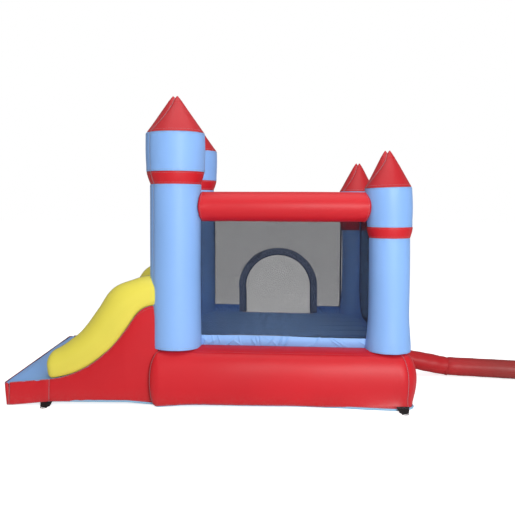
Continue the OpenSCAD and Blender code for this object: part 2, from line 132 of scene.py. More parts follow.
def addStudio():
    world = bpy.data.worlds.new("paleStudio")
    bpy.context.scene.world = world
    world.use_nodes = True
    tree = world.node_tree
    seen = tree.nodes.new("ShaderNodeLightPath")
    power = tree.nodes.new("ShaderNodeMapRange")
    power.inputs[3].default_value = studio["skyLight"]
    power.inputs[4].default_value = 1.0
    tree.links.new(seen.outputs["Is Camera Ray"], power.inputs[0])
    tree.links.new(power.outputs[0], tree.nodes["Background"].inputs[1])
    tree.nodes["Background"].inputs[0].default_value = (1, 1, 1, 1)
    addLight("keyLight", studio["keyPlace"], studio["keyAim"], studio["keySize"], studio["keyPower"])
    addLight("topLight", studio["topPlace"], studio["keyAim"], studio["topSize"], studio["topPower"])
    addLight("innerLight", studio["innerPlace"], studio["innerAim"], studio["innerSize"], studio["innerPower"])
    bpy.ops.mesh.primitive_plane_add(size=120, location=(0, 0, -0.0005))
    floor = bpy.context.object
    floor.name = "studioFloor"
    paint = Recipe("paleFloor")
    seen = paint.node("ShaderNodeLightPath")
    grain = paint.noise(paint.objectPlace(), 3.0, 2.0)
    paint.surface(colour=paint.mixColour(grain, studio["floorColour"], shade(studio["floorColour"], 1.01)),
                  roughness=0.95, Specular_IOR_Level=0.05, Emission_Strength=studio["floorGlow"])
    paint.feed(paint.shader.inputs["Emission Color"], paint.mixColour(seen, (0, 0, 0), (1, 1, 1)))
    floor.data.materials.append(paint.material)
    bpy.context.scene.view_settings.view_transform = "Standard"


# Shader maths

class Wire:
    # One node output, with arithmetic that adds Math nodes

    def __init__(self, recipe, socket):
        self.recipe = recipe
        self.socket = socket

    def join(self, operation, other, swap=False):
        pair = (other, self) if swap else (self, other)
        return self.recipe.node("ShaderNodeMath", {"operation": operation}, {0: pair[0], 1: pair[1]})

    def __add__(self, other):
        return self.join("ADD", other)

    def __sub__(self, other):
        return self.join("SUBTRACT", other)

    def __rsub__(self, other):
        return self.join("SUBTRACT", other, swap=True)

    def __mul__(self, other):
        return self.join("MULTIPLY", other)

    __radd__ = __add__
    __rmul__ = __mul__

    def apply(self, operation, other=0.0):
        return self.join(operation, other)


class Recipe:
    # A material and the nodes that it is made of

    def __init__(self, name):
        self.material = bpy.data.materials.new(name)
        self.material.use_nodes = True
        self.tree = self.material.node_tree
        self.tree.nodes.clear()
        self.shader = self.tree.nodes.new("ShaderNodeBsdfPrincipled")
        out = self.tree.nodes.new("ShaderNodeOutputMaterial")
        self.tree.links.new(self.shader.outputs[0], out.inputs[0])

    def feed(self, socket, value):
        if isinstance(value, Wire):
            self.tree.links.new(value.socket, socket)
        else:
            socket.default_value = value

    def node(self, kind, settings=None, inputs=None, output=0):
        made = self.tree.nodes.new(kind)
        for key, value in (settings or {}).items():
            setattr(made, key, value)
        for key, value in (inputs or {}).items():
            self.feed(made.inputs[key], value)
        return Wire(self, made.outputs[output])

    def mixColour(self, share, first, second):
        return self.node("ShaderNodeMix", {"data_type": "RGBA"},
                         {0: share, 6: rgba(first), 7: rgba(second)}, output=2)

    def objectPlace(self):
        return self.node("ShaderNodeTexCoord", output=3)

    def clothPlace(self):
        split = self.node("ShaderNodeSeparateXYZ", None, {0: self.node("ShaderNodeTexCoord", output=2)})
        return split, Wire(self, split.socket.node.outputs[1])

    def noise(self, place, scale, detail=2.0, rough=0.5, twist=0.0):
        return self.node("ShaderNodeTexNoise", None,
                         {"Vector": place, "Scale": scale, "Detail": detail,
                          "Roughness": rough, "Distortion": twist})

    def remap(self, value, low, high, toLow, toHigh):
        return self.node("ShaderNodeMapRange", {"clamp": True},
                         {0: value, 1: low, 2: high, 3: toLow, 4: toHigh})

    def bump(self, height, distance, strength=1.0, under=None):
        inputs = {"Height": height, "Distance": distance, "Strength": strength}
        if under is not None:
            inputs["Normal"] = under
        return self.node("ShaderNodeBump", None, inputs)

    def surface(self, colour=None, roughness=None, normal=None, alpha=None, **plain):
        if colour is not None:
            self.feed(self.shader.inputs["Base Color"], rgba(colour))
        for name, value in (("Roughness", roughness), ("Normal", normal), ("Alpha", alpha)):
            if value is not None:
                self.feed(self.shader.inputs[name], value)
        for name, value in plain.items():
            self.shader.inputs[name.replace("_", " ")].default_value = value


def rgba(colour):
    return colour if isinstance(colour, Wire) else (*colour[:3], 1)


def shade(colour, factor):
    return tuple(min(1.0, c * factor) for c in colour[:3])


# Materials

fabric = {
    "weavePitch": 0.0011,       # metres between threads
    "weaveDepth": 0.00012,
    "wrinkleScale": 9.0,
    "wrinkleDepth": 0.0016,
    # colour factor of the painted shade in creases
    "creaseShadeLevel": 0.80,
    "paleShift": 1.045,
    "deepShift": 0.95,
}


def coatedFabric(name, colour, roughness=0.46, coat=0.08, wrinkle=1.0, bottomDarkening=0.10, fadeTo=None):
    r = Recipe(name)
    place = r.objectPlace()
    u, v = r.clothPlace()
    turns = tau / fabric["weavePitch"]
    threads = (u * turns).apply("SINE") * (v * turns).apply("SINE")
    soft = r.noise(place, fabric["wrinkleScale"], 3.0, 0.45, 0.6)
    fine = r.noise(place, 46.0, 2.0, 0.5, 0.2)
    cloud = r.noise(place, 1.6, 2.0)
    crease = r.node("ShaderNodeAttribute", {"attribute_name": "crease"}, output=2)
    normal = r.bump(soft, fabric["wrinkleDepth"] * wrinkle, 0.55)
    normal = r.bump(threads + fine * 2.0, fabric["weaveDepth"], 0.6, under=normal)
    z = Wire(r, r.node("ShaderNodeSeparateXYZ", None, {0: place}).socket.node.outputs[2])
    # Darker towards the bottom: within 0.16 m of the ground the colour is mixed, in patches, towards a grey-brown
    low = r.remap(z, 0.0, 0.16, 1.0, 0.0) * r.remap(fine, 0.35, 0.7, 0.2, 1.0) * bottomDarkening
    base = r.mixColour(r.remap(cloud, 0.3, 0.7, 0.0, 1.0), shade(colour, fabric["deepShift"]),
                       shade(colour, fabric["paleShift"]))
    if fadeTo is not None:
        along = r.node("ShaderNodeSeparateXYZ", None, {0: place})
        base = r.mixColour(r.remap(along, fadeTo[1], fadeTo[2], 0.0, 1.0), base, fadeTo[0])
    # Painted shade: the colour is darkened in creases, seam grooves, pinched ends, folds and valleys, from the crease
    # attribute
    creaseShaded = r.mixColour(crease * 0.7, base, shade(colour, fabric["creaseShadeLevel"]))
    darkerLow = r.mixColour(low, creaseShaded, (0.33, 0.29, 0.25))
    rough = r.remap(cloud, 0.25, 0.75, roughness - 0.04, roughness + 0.05) + crease * 0.12
    r.surface(colour=darkerLow, roughness=rough, normal=normal,
              Coat_Weight=coat, Coat_Roughness=0.34, Specular_IOR_Level=0.34)
    return r.material


mesh = {"pitch": 0.0046, "grain": 110.0, "grainDepth": 0.19}


def nettingMaterial(name, colour, openShare):
    # Diamond netting: two sets of slanting threads, and the gaps between them let light through
    r = Recipe(name)
    u, v = r.clothPlace()
    uneven = r.remap(r.noise(r.objectPlace(), mesh["grain"], 1.0), 0.25, 0.75, -1.0, 1.0)
    side = (1 - math.sqrt(openShare)) / 2
    gaps = []
    for slant in (1, -1):
        across = (u + v * slant) * (1 / mesh["pitch"])
        reach = uneven * (side * mesh["grainDepth"]) + (0.5 - side)
        gaps.append((across.apply("FRACT") - 0.5).apply("ABSOLUTE").apply("LESS_THAN", reach))
    thread = 1 - gaps[0] * gaps[1]
    cloud = r.noise(r.objectPlace(), 2.4, 2.0)
    tone = r.mixColour(cloud, shade(colour, 0.8), shade(colour, 1.25))
    r.surface(colour=tone, roughness=0.8, alpha=thread, Specular_IOR_Level=0.1)
    return r.material


def webbingMaterial(name, colour, pitch=0.0022, roughness=0.7):
    r = Recipe(name)
    place = r.objectPlace()
    u, v = r.clothPlace()
    turns = tau / pitch
    ribs = ((u + v) * turns).apply("SINE") * ((u - v) * turns).apply("SINE")
    fuzz = r.noise(place, 300.0, 2.0)
    tone = r.mixColour(r.remap(fuzz, 0.3, 0.7, 0.0, 1.0), shade(colour, 0.75), shade(colour, 1.35))
    r.surface(colour=tone, roughness=roughness,
              normal=r.bump(ribs + fuzz * 0.5, 0.0004, 0.8), Specular_IOR_Level=0.3)
    return r.material


def hardMaterial(name, colour, roughness, metallic=0.0, grain=80.0):
    r = Recipe(name)
    place = r.objectPlace()
    specks = r.noise(place, grain, 4.0, 0.6)
    tone = r.mixColour(r.remap(specks, 0.35, 0.75, 0.0, 1.0), shade(colour, 0.85), shade(colour, 1.2))
    r.surface(colour=tone, roughness=r.remap(specks, 0.3, 0.7, roughness - 0.06, roughness + 0.1),
              normal=r.bump(specks, 0.0002, 0.4), Metallic=metallic)
    return r.material


colours = {
    "red": (0.60, 0.008, 0.016),
    "ductRed": (0.47, 0.007, 0.012),
    "brickRed": (0.30, 0.022, 0.020),
    "sky": (0.245, 0.455, 0.86),
    "mat": (0.225, 0.455, 0.89),
    "yellow": (0.80, 0.70, 0.085),
    "navy": (0.024, 0.034, 0.078),
    "slate": (0.21, 0.25, 0.34),
    # the house's red, darkened as painted shade for the cones
    "coneShadedRed": (0.48, 0.010, 0.017),
    "net": (0.006, 0.007, 0.012),
    "piping": (0.27, 0.54, 0.76),
    "thread": (0.33, 0.31, 0.35),
    "black": (0.010, 0.010, 0.011),
}

paints = {
    "red": coatedFabric("redFabric", colours["red"]),
    "brick": coatedFabric("brickRedFabric", colours["ductRed"], wrinkle=1.6, fadeTo=(colours["brickRed"], 1.72, 2.25)),
    "cone": coatedFabric("coneShadedRedFabric", colours["coneShadedRed"]),
    "slate": webbingMaterial("slateBinding", colours["slate"]),
    "sky": coatedFabric("skyFabric", colours["sky"]),
    "mat": coatedFabric("slideFabric", colours["mat"], roughness=0.4),
    "yellow": coatedFabric("yellowFabric", colours["yellow"]),
    "navy": webbingMaterial("navyBinding", colours["navy"]),
    "netNear": nettingMaterial("nearNetting", colours["net"], 0.262),
    "netFar": nettingMaterial("farNetting", colours["net"], 0.76),
    # the same netting, denser, with its thread colour darkened as painted shade on the rear window
    "netRear": nettingMaterial("rearNetting", shade(colours["net"], 0.7), 0.34),
    "piping": coatedFabric("pipingFabric", colours["piping"], roughness=0.5),
    "thread": webbingMaterial("seamThread", colours["thread"], 0.004, 0.75),
    "webbing": webbingMaterial("blackWebbing", colours["black"]),
    "steel": hardMaterial("blackedSteel", (0.05, 0.05, 0.055), 0.42, 0.9),
    "zinc": hardMaterial("zincPlate", (0.45, 0.46, 0.48), 0.34, 1.0),
    "plastic": hardMaterial("buckleNylon", (0.014, 0.014, 0.015), 0.45, 0.0, 160.0),
}
print("materials made:", len(paints))


# Mesh making

def ease(low, high, x):
    t = np.clip((x - low) / (high - low), 0, 1)
    return t * t * (3 - 2 * t)


def ripple(points, seed, low, high, waves=8):
    # Smooth random undulation, between low and high radians per metre
    rng = np.random.RandomState(seed)
    total = np.zeros(points.shape[:-1])
    for _ in range(waves):
        way = rng.normal(size=3)
        way *= rng.uniform(low, high) / np.linalg.norm(way)
        total += np.sin(points @ way + rng.uniform(0, tau))
    return total / math.sqrt(waves)


def directions(path):
    # Unit vectors along a path
    way = np.gradient(path, axis=0)
    return way / np.linalg.norm(way, axis=1, keepdims=True)


def span(points, axis):
    # Length along one direction of a grid of points, starting at 0
    steps = np.linalg.norm(np.diff(points, axis=axis), axis=2)
    steps = steps.mean(axis=1 - axis)
    return np.concatenate([[0], np.cumsum(steps)])


def buildMesh(name, verts, faces, uvs, crease=None):
    data = bpy.data.meshes.new(name)
    data.from_pydata([tuple(v) for v in verts], [], faces)
    layer = data.uv_layers.new(name="cloth")
    loops = np.zeros(len(data.loops), np.int32)
    data.loops.foreach_get("vertex_index", loops)
    layer.data.foreach_set("uv", np.asarray(uvs, np.float32)[loops].ravel())
    # crease marks pinched ends, seam grooves, folds and valleys; the fabrics darken it as painted shade and make it
    # rougher
    if crease is not None:
        spot = data.attributes.new("crease", "FLOAT", "POINT")
        spot.data.foreach_set("value", np.asarray(crease, np.float32).ravel())
    data.polygons.foreach_set("use_smooth", [True] * len(data.polygons))
    data.update()
    return data


def faceOut(data):
    shape = bmesh.new()
    shape.from_mesh(data)
    bmesh.ops.recalc_face_normals(shape, faces=shape.faces)
    shape.to_mesh(data)
    shape.free()


def gridFaces(rows, cols, wrapRows=False, wrapCols=False, start=0, flip=False, keep=None):
    i, j = np.meshgrid(np.arange(rows if wrapRows else rows - 1),
                       np.arange(cols if wrapCols else cols - 1), indexing="ij")
    i2, j2 = (i + 1) % rows, (j + 1) % cols
    quads = np.stack([i * cols + j, i * cols + j2, i2 * cols + j2, i2 * cols + j], -1) + start
    if keep is not None:
        quads = quads[keep]
    quads = quads.reshape(-1, 4)
    return (quads[:, ::-1] if flip else quads).tolist()


def clothUv(points):
    v, u = span(points, 0), span(points, 1)
    return np.stack(np.broadcast_arrays(u[None, :], v[:, None]), -1).reshape(-1, 2)


def tubeMesh(name, points, crease=None):
    # rows run along the tube and columns round it; both ends are closed with a centre point
    rows, cols = points.shape[:2]
    ends = [points[0].mean(0), points[-1].mean(0)]
    verts = np.concatenate([points.reshape(-1, 3), ends])
    faces = gridFaces(rows, cols, wrapCols=True)
    first, last = rows * cols, rows * cols + 1
    faces += [[(j + 1) % cols, j, first] for j in range(cols)]
    edge = (rows - 1) * cols
    faces += [[edge + j, edge + (j + 1) % cols, last] for j in range(cols)]
    uvs = np.concatenate([clothUv(points), [[0, 0], [0, 0]]])
    if crease is not None:
        crease = np.concatenate([crease.ravel(), [0, 0]])
    data = buildMesh(name, verts, faces, uvs, crease)
    faceOut(data)
    return data


def slabMesh(name, top, bottom, crease=None, wrap=False, keep=None):
    # Two matching grids joined round their edges into one closed skin
    rows, cols = top.shape[:2]
    count = rows * cols
    verts = np.concatenate([top.reshape(-1, 3), bottom.reshape(-1, 3)])
    faces = gridFaces(rows, cols, wrapRows=wrap, keep=keep)
    faces += gridFaces(rows, cols, wrapRows=wrap, start=count, flip=True, keep=keep)
    if keep is None:
        for i in range(rows if wrap else rows - 1):
            n = (i + 1) % rows
            faces.append([i * cols, n * cols, n * cols + count, i * cols + count])
            last = cols - 1
            faces.append([n * cols + last, i * cols + last, i * cols + last + count, n * cols + last + count])
        if not wrap:
            for j in range(cols - 1):
                faces.append([j + 1, j, j + count, j + 1 + count])
                end = (rows - 1) * cols
                faces.append([end + j, end + j + 1, end + j + 1 + count, end + j + count])
    uvs = np.concatenate([clothUv(top)] * 2)
    if crease is not None:
        crease = np.concatenate([crease.ravel()] * 2)
    data = buildMesh(name, verts, faces, uvs, crease)
    if keep is not None:
        closeRim(data)
    faceOut(data)
    return data


def closeRim(data):
    # Joins the open edges of a slab whose middle was cut out
    shape = bmesh.new()
    shape.from_mesh(data)
    loose = [v for v in shape.verts if not v.link_faces]
    bmesh.ops.delete(shape, geom=loose, context="VERTS")
    rim = [e for e in shape.edges if len(e.link_faces) == 1]
    bmesh.ops.bridge_loops(shape, edges=rim)
    shape.to_mesh(data)
    shape.free()


def addPiece(name, data, paint, body, nodes=()):
    piece = bpy.data.objects.new(name, data)
    bpy.context.collection.objects.link(piece)
    data.materials.clear()
    data.materials.append(paints[paint])
    if nodes:
        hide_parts(*nodes)
    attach(piece, body)
    return piece


# Seams: raised welts and rows of stitches, gathered while the panels are made

welts = {}
stitchRows = {}


def addWelt(group, line, closed=False):
    line = np.asarray(line)
    welts.setdefault(group, []).append(np.concatenate([line, line[:1]]) if closed else line)


def addStitches(group, line, closed=False):
    line = np.asarray(line)
    stitchRows.setdefault(group, []).append(np.concatenate([line, line[:1]]) if closed else line)


def lineMesh(name, lines):
    verts, edges = [], []
    for line in lines:
        start = len(verts)
        verts += [tuple(p) for p in line]
        edges += [(start + k, start + k + 1) for k in range(len(line) - 1)]
    data = bpy.data.meshes.new(name)
    data.from_pydata(verts, edges, [])
    return data


def newTree(name, sizes):
    tree = bpy.data.node_groups.new(name, "GeometryNodeTree")
    tree.interface.new_socket("Geometry", in_out="INPUT", socket_type="NodeSocketGeometry")
    for label, value in sizes.items():
        made = tree.interface.new_socket(label, in_out="INPUT", socket_type="NodeSocketFloat")
        made.default_value = value
    tree.interface.new_socket("Geometry", in_out="OUTPUT", socket_type="NodeSocketGeometry")
    return tree, tree.nodes.new("NodeGroupInput"), tree.nodes.new("NodeGroupOutput")


def closeTree(tree, last, end, paint):
    real = tree.nodes.new("GeometryNodeRealizeInstances")
    coat = tree.nodes.new("GeometryNodeSetMaterial")
    coat.inputs["Material"].default_value = paints[paint]
    tree.links.new(last.outputs[0], real.inputs[0])
    tree.links.new(real.outputs[0], coat.inputs["Geometry"])
    tree.links.new(coat.outputs[0], end.inputs[0])
    return tree


def weltTree(paint):
    # A round cord swept along every line
    tree, start, end = newTree("weltCord", {"Radius": 0.002})
    curve = tree.nodes.new("GeometryNodeMeshToCurve")
    sweep = tree.nodes.new("GeometryNodeCurveToMesh")
    ring = tree.nodes.new("GeometryNodeCurvePrimitiveCircle")
    ring.inputs["Resolution"].default_value = 6
    sweep.inputs["Fill Caps"].default_value = True
    tree.links.new(start.outputs["Geometry"], curve.inputs[0])
    tree.links.new(curve.outputs[0], sweep.inputs["Curve"])
    tree.links.new(start.outputs["Radius"], ring.inputs["Radius"])
    tree.links.new(ring.outputs["Curve"], sweep.inputs["Profile Curve"])
    return closeTree(tree, sweep, end, paint)


def stitchTree(paint):
    # Short threads set at an even pitch along every line
    tree, start, end = newTree("stitchRow", {"Pitch": 0.011, "Length": 0.0075, "Thickness": 0.0011})
    curve = tree.nodes.new("GeometryNodeMeshToCurve")
    spaced = tree.nodes.new("GeometryNodeResampleCurve")
    spaced.mode = "LENGTH"
    thread = tree.nodes.new("GeometryNodeMeshCylinder")
    thread.inputs["Vertices"].default_value = 5
    place = tree.nodes.new("GeometryNodeInstanceOnPoints")
    along = tree.nodes.new("GeometryNodeInputTangent")
    turn = tree.nodes.new("FunctionNodeAlignRotationToVector")
    turn.axis = "Z"
    tree.links.new(start.outputs["Geometry"], curve.inputs[0])
    tree.links.new(curve.outputs[0], spaced.inputs["Curve"])
    tree.links.new(start.outputs["Pitch"], spaced.inputs["Length"])
    tree.links.new(start.outputs["Length"], thread.inputs["Depth"])
    tree.links.new(start.outputs["Thickness"], thread.inputs["Radius"])
    tree.links.new(spaced.outputs[0], place.inputs["Points"])
    tree.links.new(thread.outputs["Mesh"], place.inputs["Instance"])
    tree.links.new(along.outputs[0], turn.inputs["Vector"])
    tree.links.new(turn.outputs[0], place.inputs["Rotation"])
    return closeTree(tree, place, end, paint)


def growPiece(name, data, tree, sizes, paint, body):
    # Runs a node tree over a mesh and keeps the result as a plain piece
    seedObject = bpy.data.objects.new(name + "Path", data)
    bpy.context.collection.objects.link(seedObject)
    grown = seedObject.modifiers.new("grow", "NODES")
    grown.node_group = tree
    for item in tree.interface.items_tree:
        if item.in_out == "INPUT" and item.name in sizes:
            grown[item.identifier] = sizes[item.name]
    bpy.context.view_layer.update()
    seen = seedObject.evaluated_get(bpy.context.evaluated_depsgraph_get())
    result = bpy.data.meshes.new_from_object(seen)
    seedObject.modifiers.remove(grown)
    bpy.data.objects.remove(seedObject)
    result.polygons.foreach_set("use_smooth", [True] * len(result.polygons))
    return addPiece(name, result, paint, body)


# Where things are, from the frame

def low(node):
    return np.array(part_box(node)[0])


def high(node):
    return np.array(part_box(node)[1])


def middle(node):
    return (low(node) + high(node)) / 2


floorZ = high("floor_sheet")[2]
houseX = high("base_wall")[0]
houseY = high("base_wall")[1]
netZ = high("net_near")[2]
slideHalf = high("slide_wall_far")[1]
tipX = low("slide_surface")[0]
slideEndX = high("slide_surface")[0]

ground = {
    "tilt": 0.022,          # how much the floor drops towards the rear, at the end walls
    # how far the lower edge rises off the ground, along the length
    "lift": ((-2.46, 0.0), (-2.02, 0.028), (-1.42, 0.024), (-1.12, 0.004), (-0.80, 0.020), (0.0, 0.010),
             (0.45, 0.0)),
    # how far the slide's top line stands above its nominal height
    "slideRise": ((-2.47, -0.007), (-2.0, -0.009), (-1.62, -0.006), (-1.36, -0.038), (-1.14, 0.0)),
}


def footLift(x):
    return riseBy(ground["lift"], x)


def settle(points):
    # The floor lies slightly downhill towards the rear, and lower edges lift off the ground
    out = points.copy()
    x, z = out[..., 0], out[..., 2]
    lean = -ground["tilt"] * np.clip(x / houseX, -1.0, 1.02)
    share = np.where(z < floorZ, z / floorZ, 1 - ease(floorZ, 1.25, z))
    raised = footLift(x) * np.clip(1 - z / 0.22, 0, 1)
    out[..., 2] = z + lean * share + raised
    return out


def riseBy(knots, x):
    total = np.zeros_like(np.asarray(x, float)) + knots[0][1]
    for (a, first), (b, last) in zip(knots, knots[1:]):
        total = total + (last - first) * ease(a, b, x)
    return total


def settleSlide(points):
    out = points.copy()
    x, z = out[..., 0], out[..., 2]
    out[..., 2] = z + riseBy(ground["slideRise"], x) * np.clip(z / 0.15, 0, 1) \
        + footLift(x) * np.clip(1 - z / 0.22, 0, 1)
    return out


# Turrets

turret = {
    "around": 132,
    "endPinch": 0.0026,
    "endReach": 0.014,
    "pucker": 0.0013,
    "puckerReach": 0.04,
    "seamDepth": 0.0035,
    "seamWidth": 0.012,
    "sway": 0.0018,
    "petal": 0.020,         # how far each half of a cone's double tip stands from the middle
    "tipRound": 0.005,
    # where the upright seam is, seen from above, at a turret's foot and at its tip
    "seamAt": {"front_near": (-142, -109), "front_far": (-142, -109), "rear_near": (-184, -118),
               "rear_far": (-152, -120)},
    "flare": {"front": 0.005, "rear": 0.024},
    "swell": {"front": 0.0, "rear": 0.004},
    "wider": {"front": 0.009, "rear": 0.005},     # drum and cone stand a little wider than the frame's
    "tilt": {"front_near": 0.0, "front_far": 0.0, "rear_near": 0.036, "rear_far": 0.0},
    "drop": {"front_near": 0.0, "front_far": 0.012, "rear_near": 0.0, "rear_far": 0.0},
    "sink": 0.018,          # how far a column reaches down into the base
    "lean": {"front_near": -0.006, "front_far": 0.009, "rear_near": 0.010, "rear_far": 0.016},
}


def evenEnds(rows):
    return 0.5 - 0.5 * np.cos(np.linspace(0, math.pi, rows))


def seamGap(angle, seamTurn):
    # Angle to the nearest of the two upright seams
    return np.abs((angle - seamTurn + math.pi / 2) % math.pi - math.pi / 2)


def ringSpots(skin, angles):
    # The skin's point at its own angle in each row
    count = skin.shape[1]
    share = (np.asarray(angles) % tau) / tau * count
    a = np.floor(share).astype(int) % count
    f = (share - np.floor(share))[:, None]
    rows = np.arange(len(skin))
    return skin[rows, a] * (1 - f) + skin[rows, (a + 1) % count] * f


def ringPoints(centre, radius, angle, z):
    return np.stack([centre[0] + radius * np.cos(angle), centre[1] + radius * np.sin(angle), z], -1)


def turretSkin(centre, radii, zs, seamTurn, seed, swell=0.0):
    t = (zs - zs[0]) / (zs[-1] - zs[0])
    angle = np.arange(turret["around"]) * tau / turret["around"]
    angleGrid, radiusGrid = np.meshgrid(angle, radii + swell * np.sin(math.pi * np.clip(1.25 * (1 - t), 0, 1)) ** 0.8)
    zGrid = np.repeat(zs[:, None], len(angle), 1)
    edge = np.minimum(zGrid - zs[0], zs[-1] - zGrid)
    shape = ringPoints(centre, radiusGrid, angleGrid, zGrid)
    pinch = np.clip(1 - edge / turret["endReach"], 0, 1) ** 2
    near = np.exp(-edge / turret["puckerReach"])
    gap = seamGap(angleGrid, seamTurn) * radiusGrid
    seam = np.exp(-(gap / turret["seamWidth"]) ** 2)
    radiusGrid = radiusGrid - turret["endPinch"] * pinch - turret["seamDepth"] * seam
    radiusGrid = radiusGrid + turret["pucker"] * near * ripple(shape * (1, 1, 0.35), seed, 60, 130)
    radiusGrid = radiusGrid + turret["sway"] * ripple(shape, seed + 1, 3, 8)
    shape = ringPoints(centre, radiusGrid, angleGrid, zGrid)
    return shape, np.clip(pinch * 0.8 + seam * 0.6, 0, 1)


def coneSkin(centre, radius, zLow, zHigh, seamTurn, tipTurn, seed):
    # Two panels that puff out on each side of the seam and end in two small tips
    d = turret["petal"]
    capStart = 1 - 2.6 * d / radius
    t = np.concatenate([np.linspace(0, 0.04, 8)[:-1], np.linspace(0.04, capStart, 60)])
    angle = np.arange(turret["around"]) * tau / turret["around"]
    angleGrid, tGrid = np.meshgrid(angle, t)
    turn = seamTurn + (tipTurn - seamTurn) * np.clip(tGrid / capStart, 0, 1)
    spread = d * np.clip(tGrid / capStart, 0, 1)
    rho = radius * (1 - tGrid)
    radiusGrid = spread * np.abs(np.sin(angleGrid - turn)) \
        + np.sqrt(rho ** 2 - (spread * np.cos(angleGrid - turn)) ** 2)
    zGrid = zLow + (zHigh - zLow) * tGrid
    gap = seamGap(angleGrid, turn) * radiusGrid
    seam = np.exp(-(gap / turret["seamWidth"]) ** 2)
    edge = zGrid - zLow
    pinch = np.clip(1 - edge / turret["endReach"], 0, 1) ** 2
    shape = np.stack([radiusGrid * np.cos(angleGrid), radiusGrid * np.sin(angleGrid), zGrid], -1)
    rough = turret["pucker"] * np.exp(-edge / turret["puckerReach"]) * ripple(shape, seed, 60, 130)
    calm = np.clip((capStart - tGrid) / 0.2, 0, 1)
    dent = (turret["seamDepth"] * seam + turret["endPinch"] * pinch) * np.clip(calm * 3, 0, 1)
    radiusGrid = radiusGrid - dent + rough
    radiusGrid = radiusGrid + 0.0018 * calm * ripple(shape, seed + 1, 6, 16)
    skin = np.stack([radiusGrid * np.cos(angleGrid), radiusGrid * np.sin(angleGrid), zGrid], -1)
    q = np.linspace(1, 0.04, 30)[1:, None]
    cap = skin[-1][None] * q[..., None]
    across = np.array([-math.sin(tipTurn), math.cos(tipTurn)])
    reach = [np.sqrt(((cap[..., :2] - side * d * across) ** 2).sum(-1) + turret["tipRound"] ** 2) for side in (1, -1)]
    nearest = np.minimum(*reach)
    level = zHigh - (zHigh - zLow) / radius * (nearest - 0.4 * turret["tipRound"])
    blend = ease(1.0, 0.9, q)
    cap[..., 2] = level * blend + skin[-1][None, :, 2] * (1 - blend)
    skin = np.concatenate([skin, cap])
    turns = np.concatenate([turn[:, 0], np.full(len(cap), tipTurn)])
    crease = np.concatenate([np.clip(pinch + seam * 0.7, 0, 1), np.zeros(cap.shape[:2])])
    return skin + np.array([centre[0], centre[1], 0]), crease, turns


def outward(points, centre, gain):
    flat = points - np.array([centre[0], centre[1], 0])
    away = flat * (1, 1, 0)
    away = away / np.maximum(np.linalg.norm(away, axis=-1, keepdims=True), 1e-6)
    return points + away * gain


def addTurret(name, seed):
    centre = middle(name + "_column")
    end = name.split("_")[0]
    colR = (high(name + "_column")[0] - low(name + "_column")[0]) / 2
    coneR = (high(name + "_cone")[0] - low(name + "_cone")[0]) / 2
    seamTurn, tipTurn = (math.radians(a) for a in turret["seamAt"][name])
    drumSwell = (high(name + "_drum")[0] - centre[0]) - coneR - 0.4 * turret["wider"][end]
    wide = coneR + turret["wider"][end]
    tiltFrom = low(name + "_drum")[2]
    parts = {
        "column": (colR, colR, 0.0, 84, "sky", "sky_fabric"),
        "collar": (colR, wide - 0.003, 0.003, 26, "red", "red_fabric"),
        "drum": (wide - 0.003, wide, drumSwell, 46, "sky", "sky_fabric"),
    }

    def pose(skin):
        # The turret leans, and its top tilts a little sideways
        out = skin.copy()
        out[..., 0] += turret["lean"][name] * (1 - ease(1.1, 2.0, skin[..., 2]))
        rise = np.maximum(skin[..., 2] - tiltFrom, 0)
        share = np.clip(rise / (low(name + "_cone")[2] - tiltFrom), 0, 1)
        out[..., 0] -= turret["tilt"][name] * rise * share
        out[..., 2] += turret["tilt"][name] * (skin[..., 0] - centre[0]) * share - turret["drop"][name]
        return settle(out)

    skins = []
    for k, (part, (r0, r1, swell, rows, paint, slotName)) in enumerate(parts.items()):
        node = name + "_" + part
        start = low(node)[2] - (turret["sink"] if part == "column" else 0)
        zs = start + (high(node)[2] - start) * evenEnds(rows)
        radii = r0 + (r1 - r0) * (zs - zs[0]) / (zs[-1] - zs[0]) + turret["swell"][end]
        if part == "column":
            radii = radii + turret["flare"][end] * (1 - ease(zs[0], zs[0] + 0.42, zs)) ** 1.5
        skin, crease = turretSkin(centre, radii, zs, seamTurn, seed + 10 * k, swell)
        skin = pose(skin)
        addPiece(node + "Skin", tubeMesh(node, skin, crease), paint, "house", [node])
        if part != "column":
            addWelt("house", outward(skin[0], centre, 0.0012), closed=True)
        for row in (6, -7):
            addStitches("house", outward(skin[row], centre, 0.0004), closed=True)
        skins.append((skin, np.full(len(skin), seamTurn)))
    node = name + "_cone"
    skin, crease, turns = coneSkin(centre, wide + turret["swell"][end], low(node)[2], high(node)[2] + 0.004,
                                   seamTurn, tipTurn, seed + 50)
    skin = pose(skin)
    # the cones take the red darkened as painted shade
    addPiece(node + "Skin", tubeMesh(node, skin, crease), "cone", "house", [node])
    addWelt("house", outward(skin[0], centre, 0.0012), closed=True)
    addStitches("house", outward(skin[9], centre, 0.0004), closed=True)
    skins.append((skin, turns))
    for extra in (0, math.pi):
        for skin, turns in skins:
            addWelt("house", outward(ringSpots(skin, turns + extra), centre, 0.0018))


for count, name in enumerate(("front_near", "front_far", "rear_near", "rear_far")):
    addTurret(name, 100 * (count + 1))
print("turrets made")


# Beams

beam = {"around": 96, "along": 130, "swell": 0.005, "pinch": 0.010, "pinchReach": 0.020, "pucker": 0.0024,
        "bite": 0.43, "tuck": 0.002}


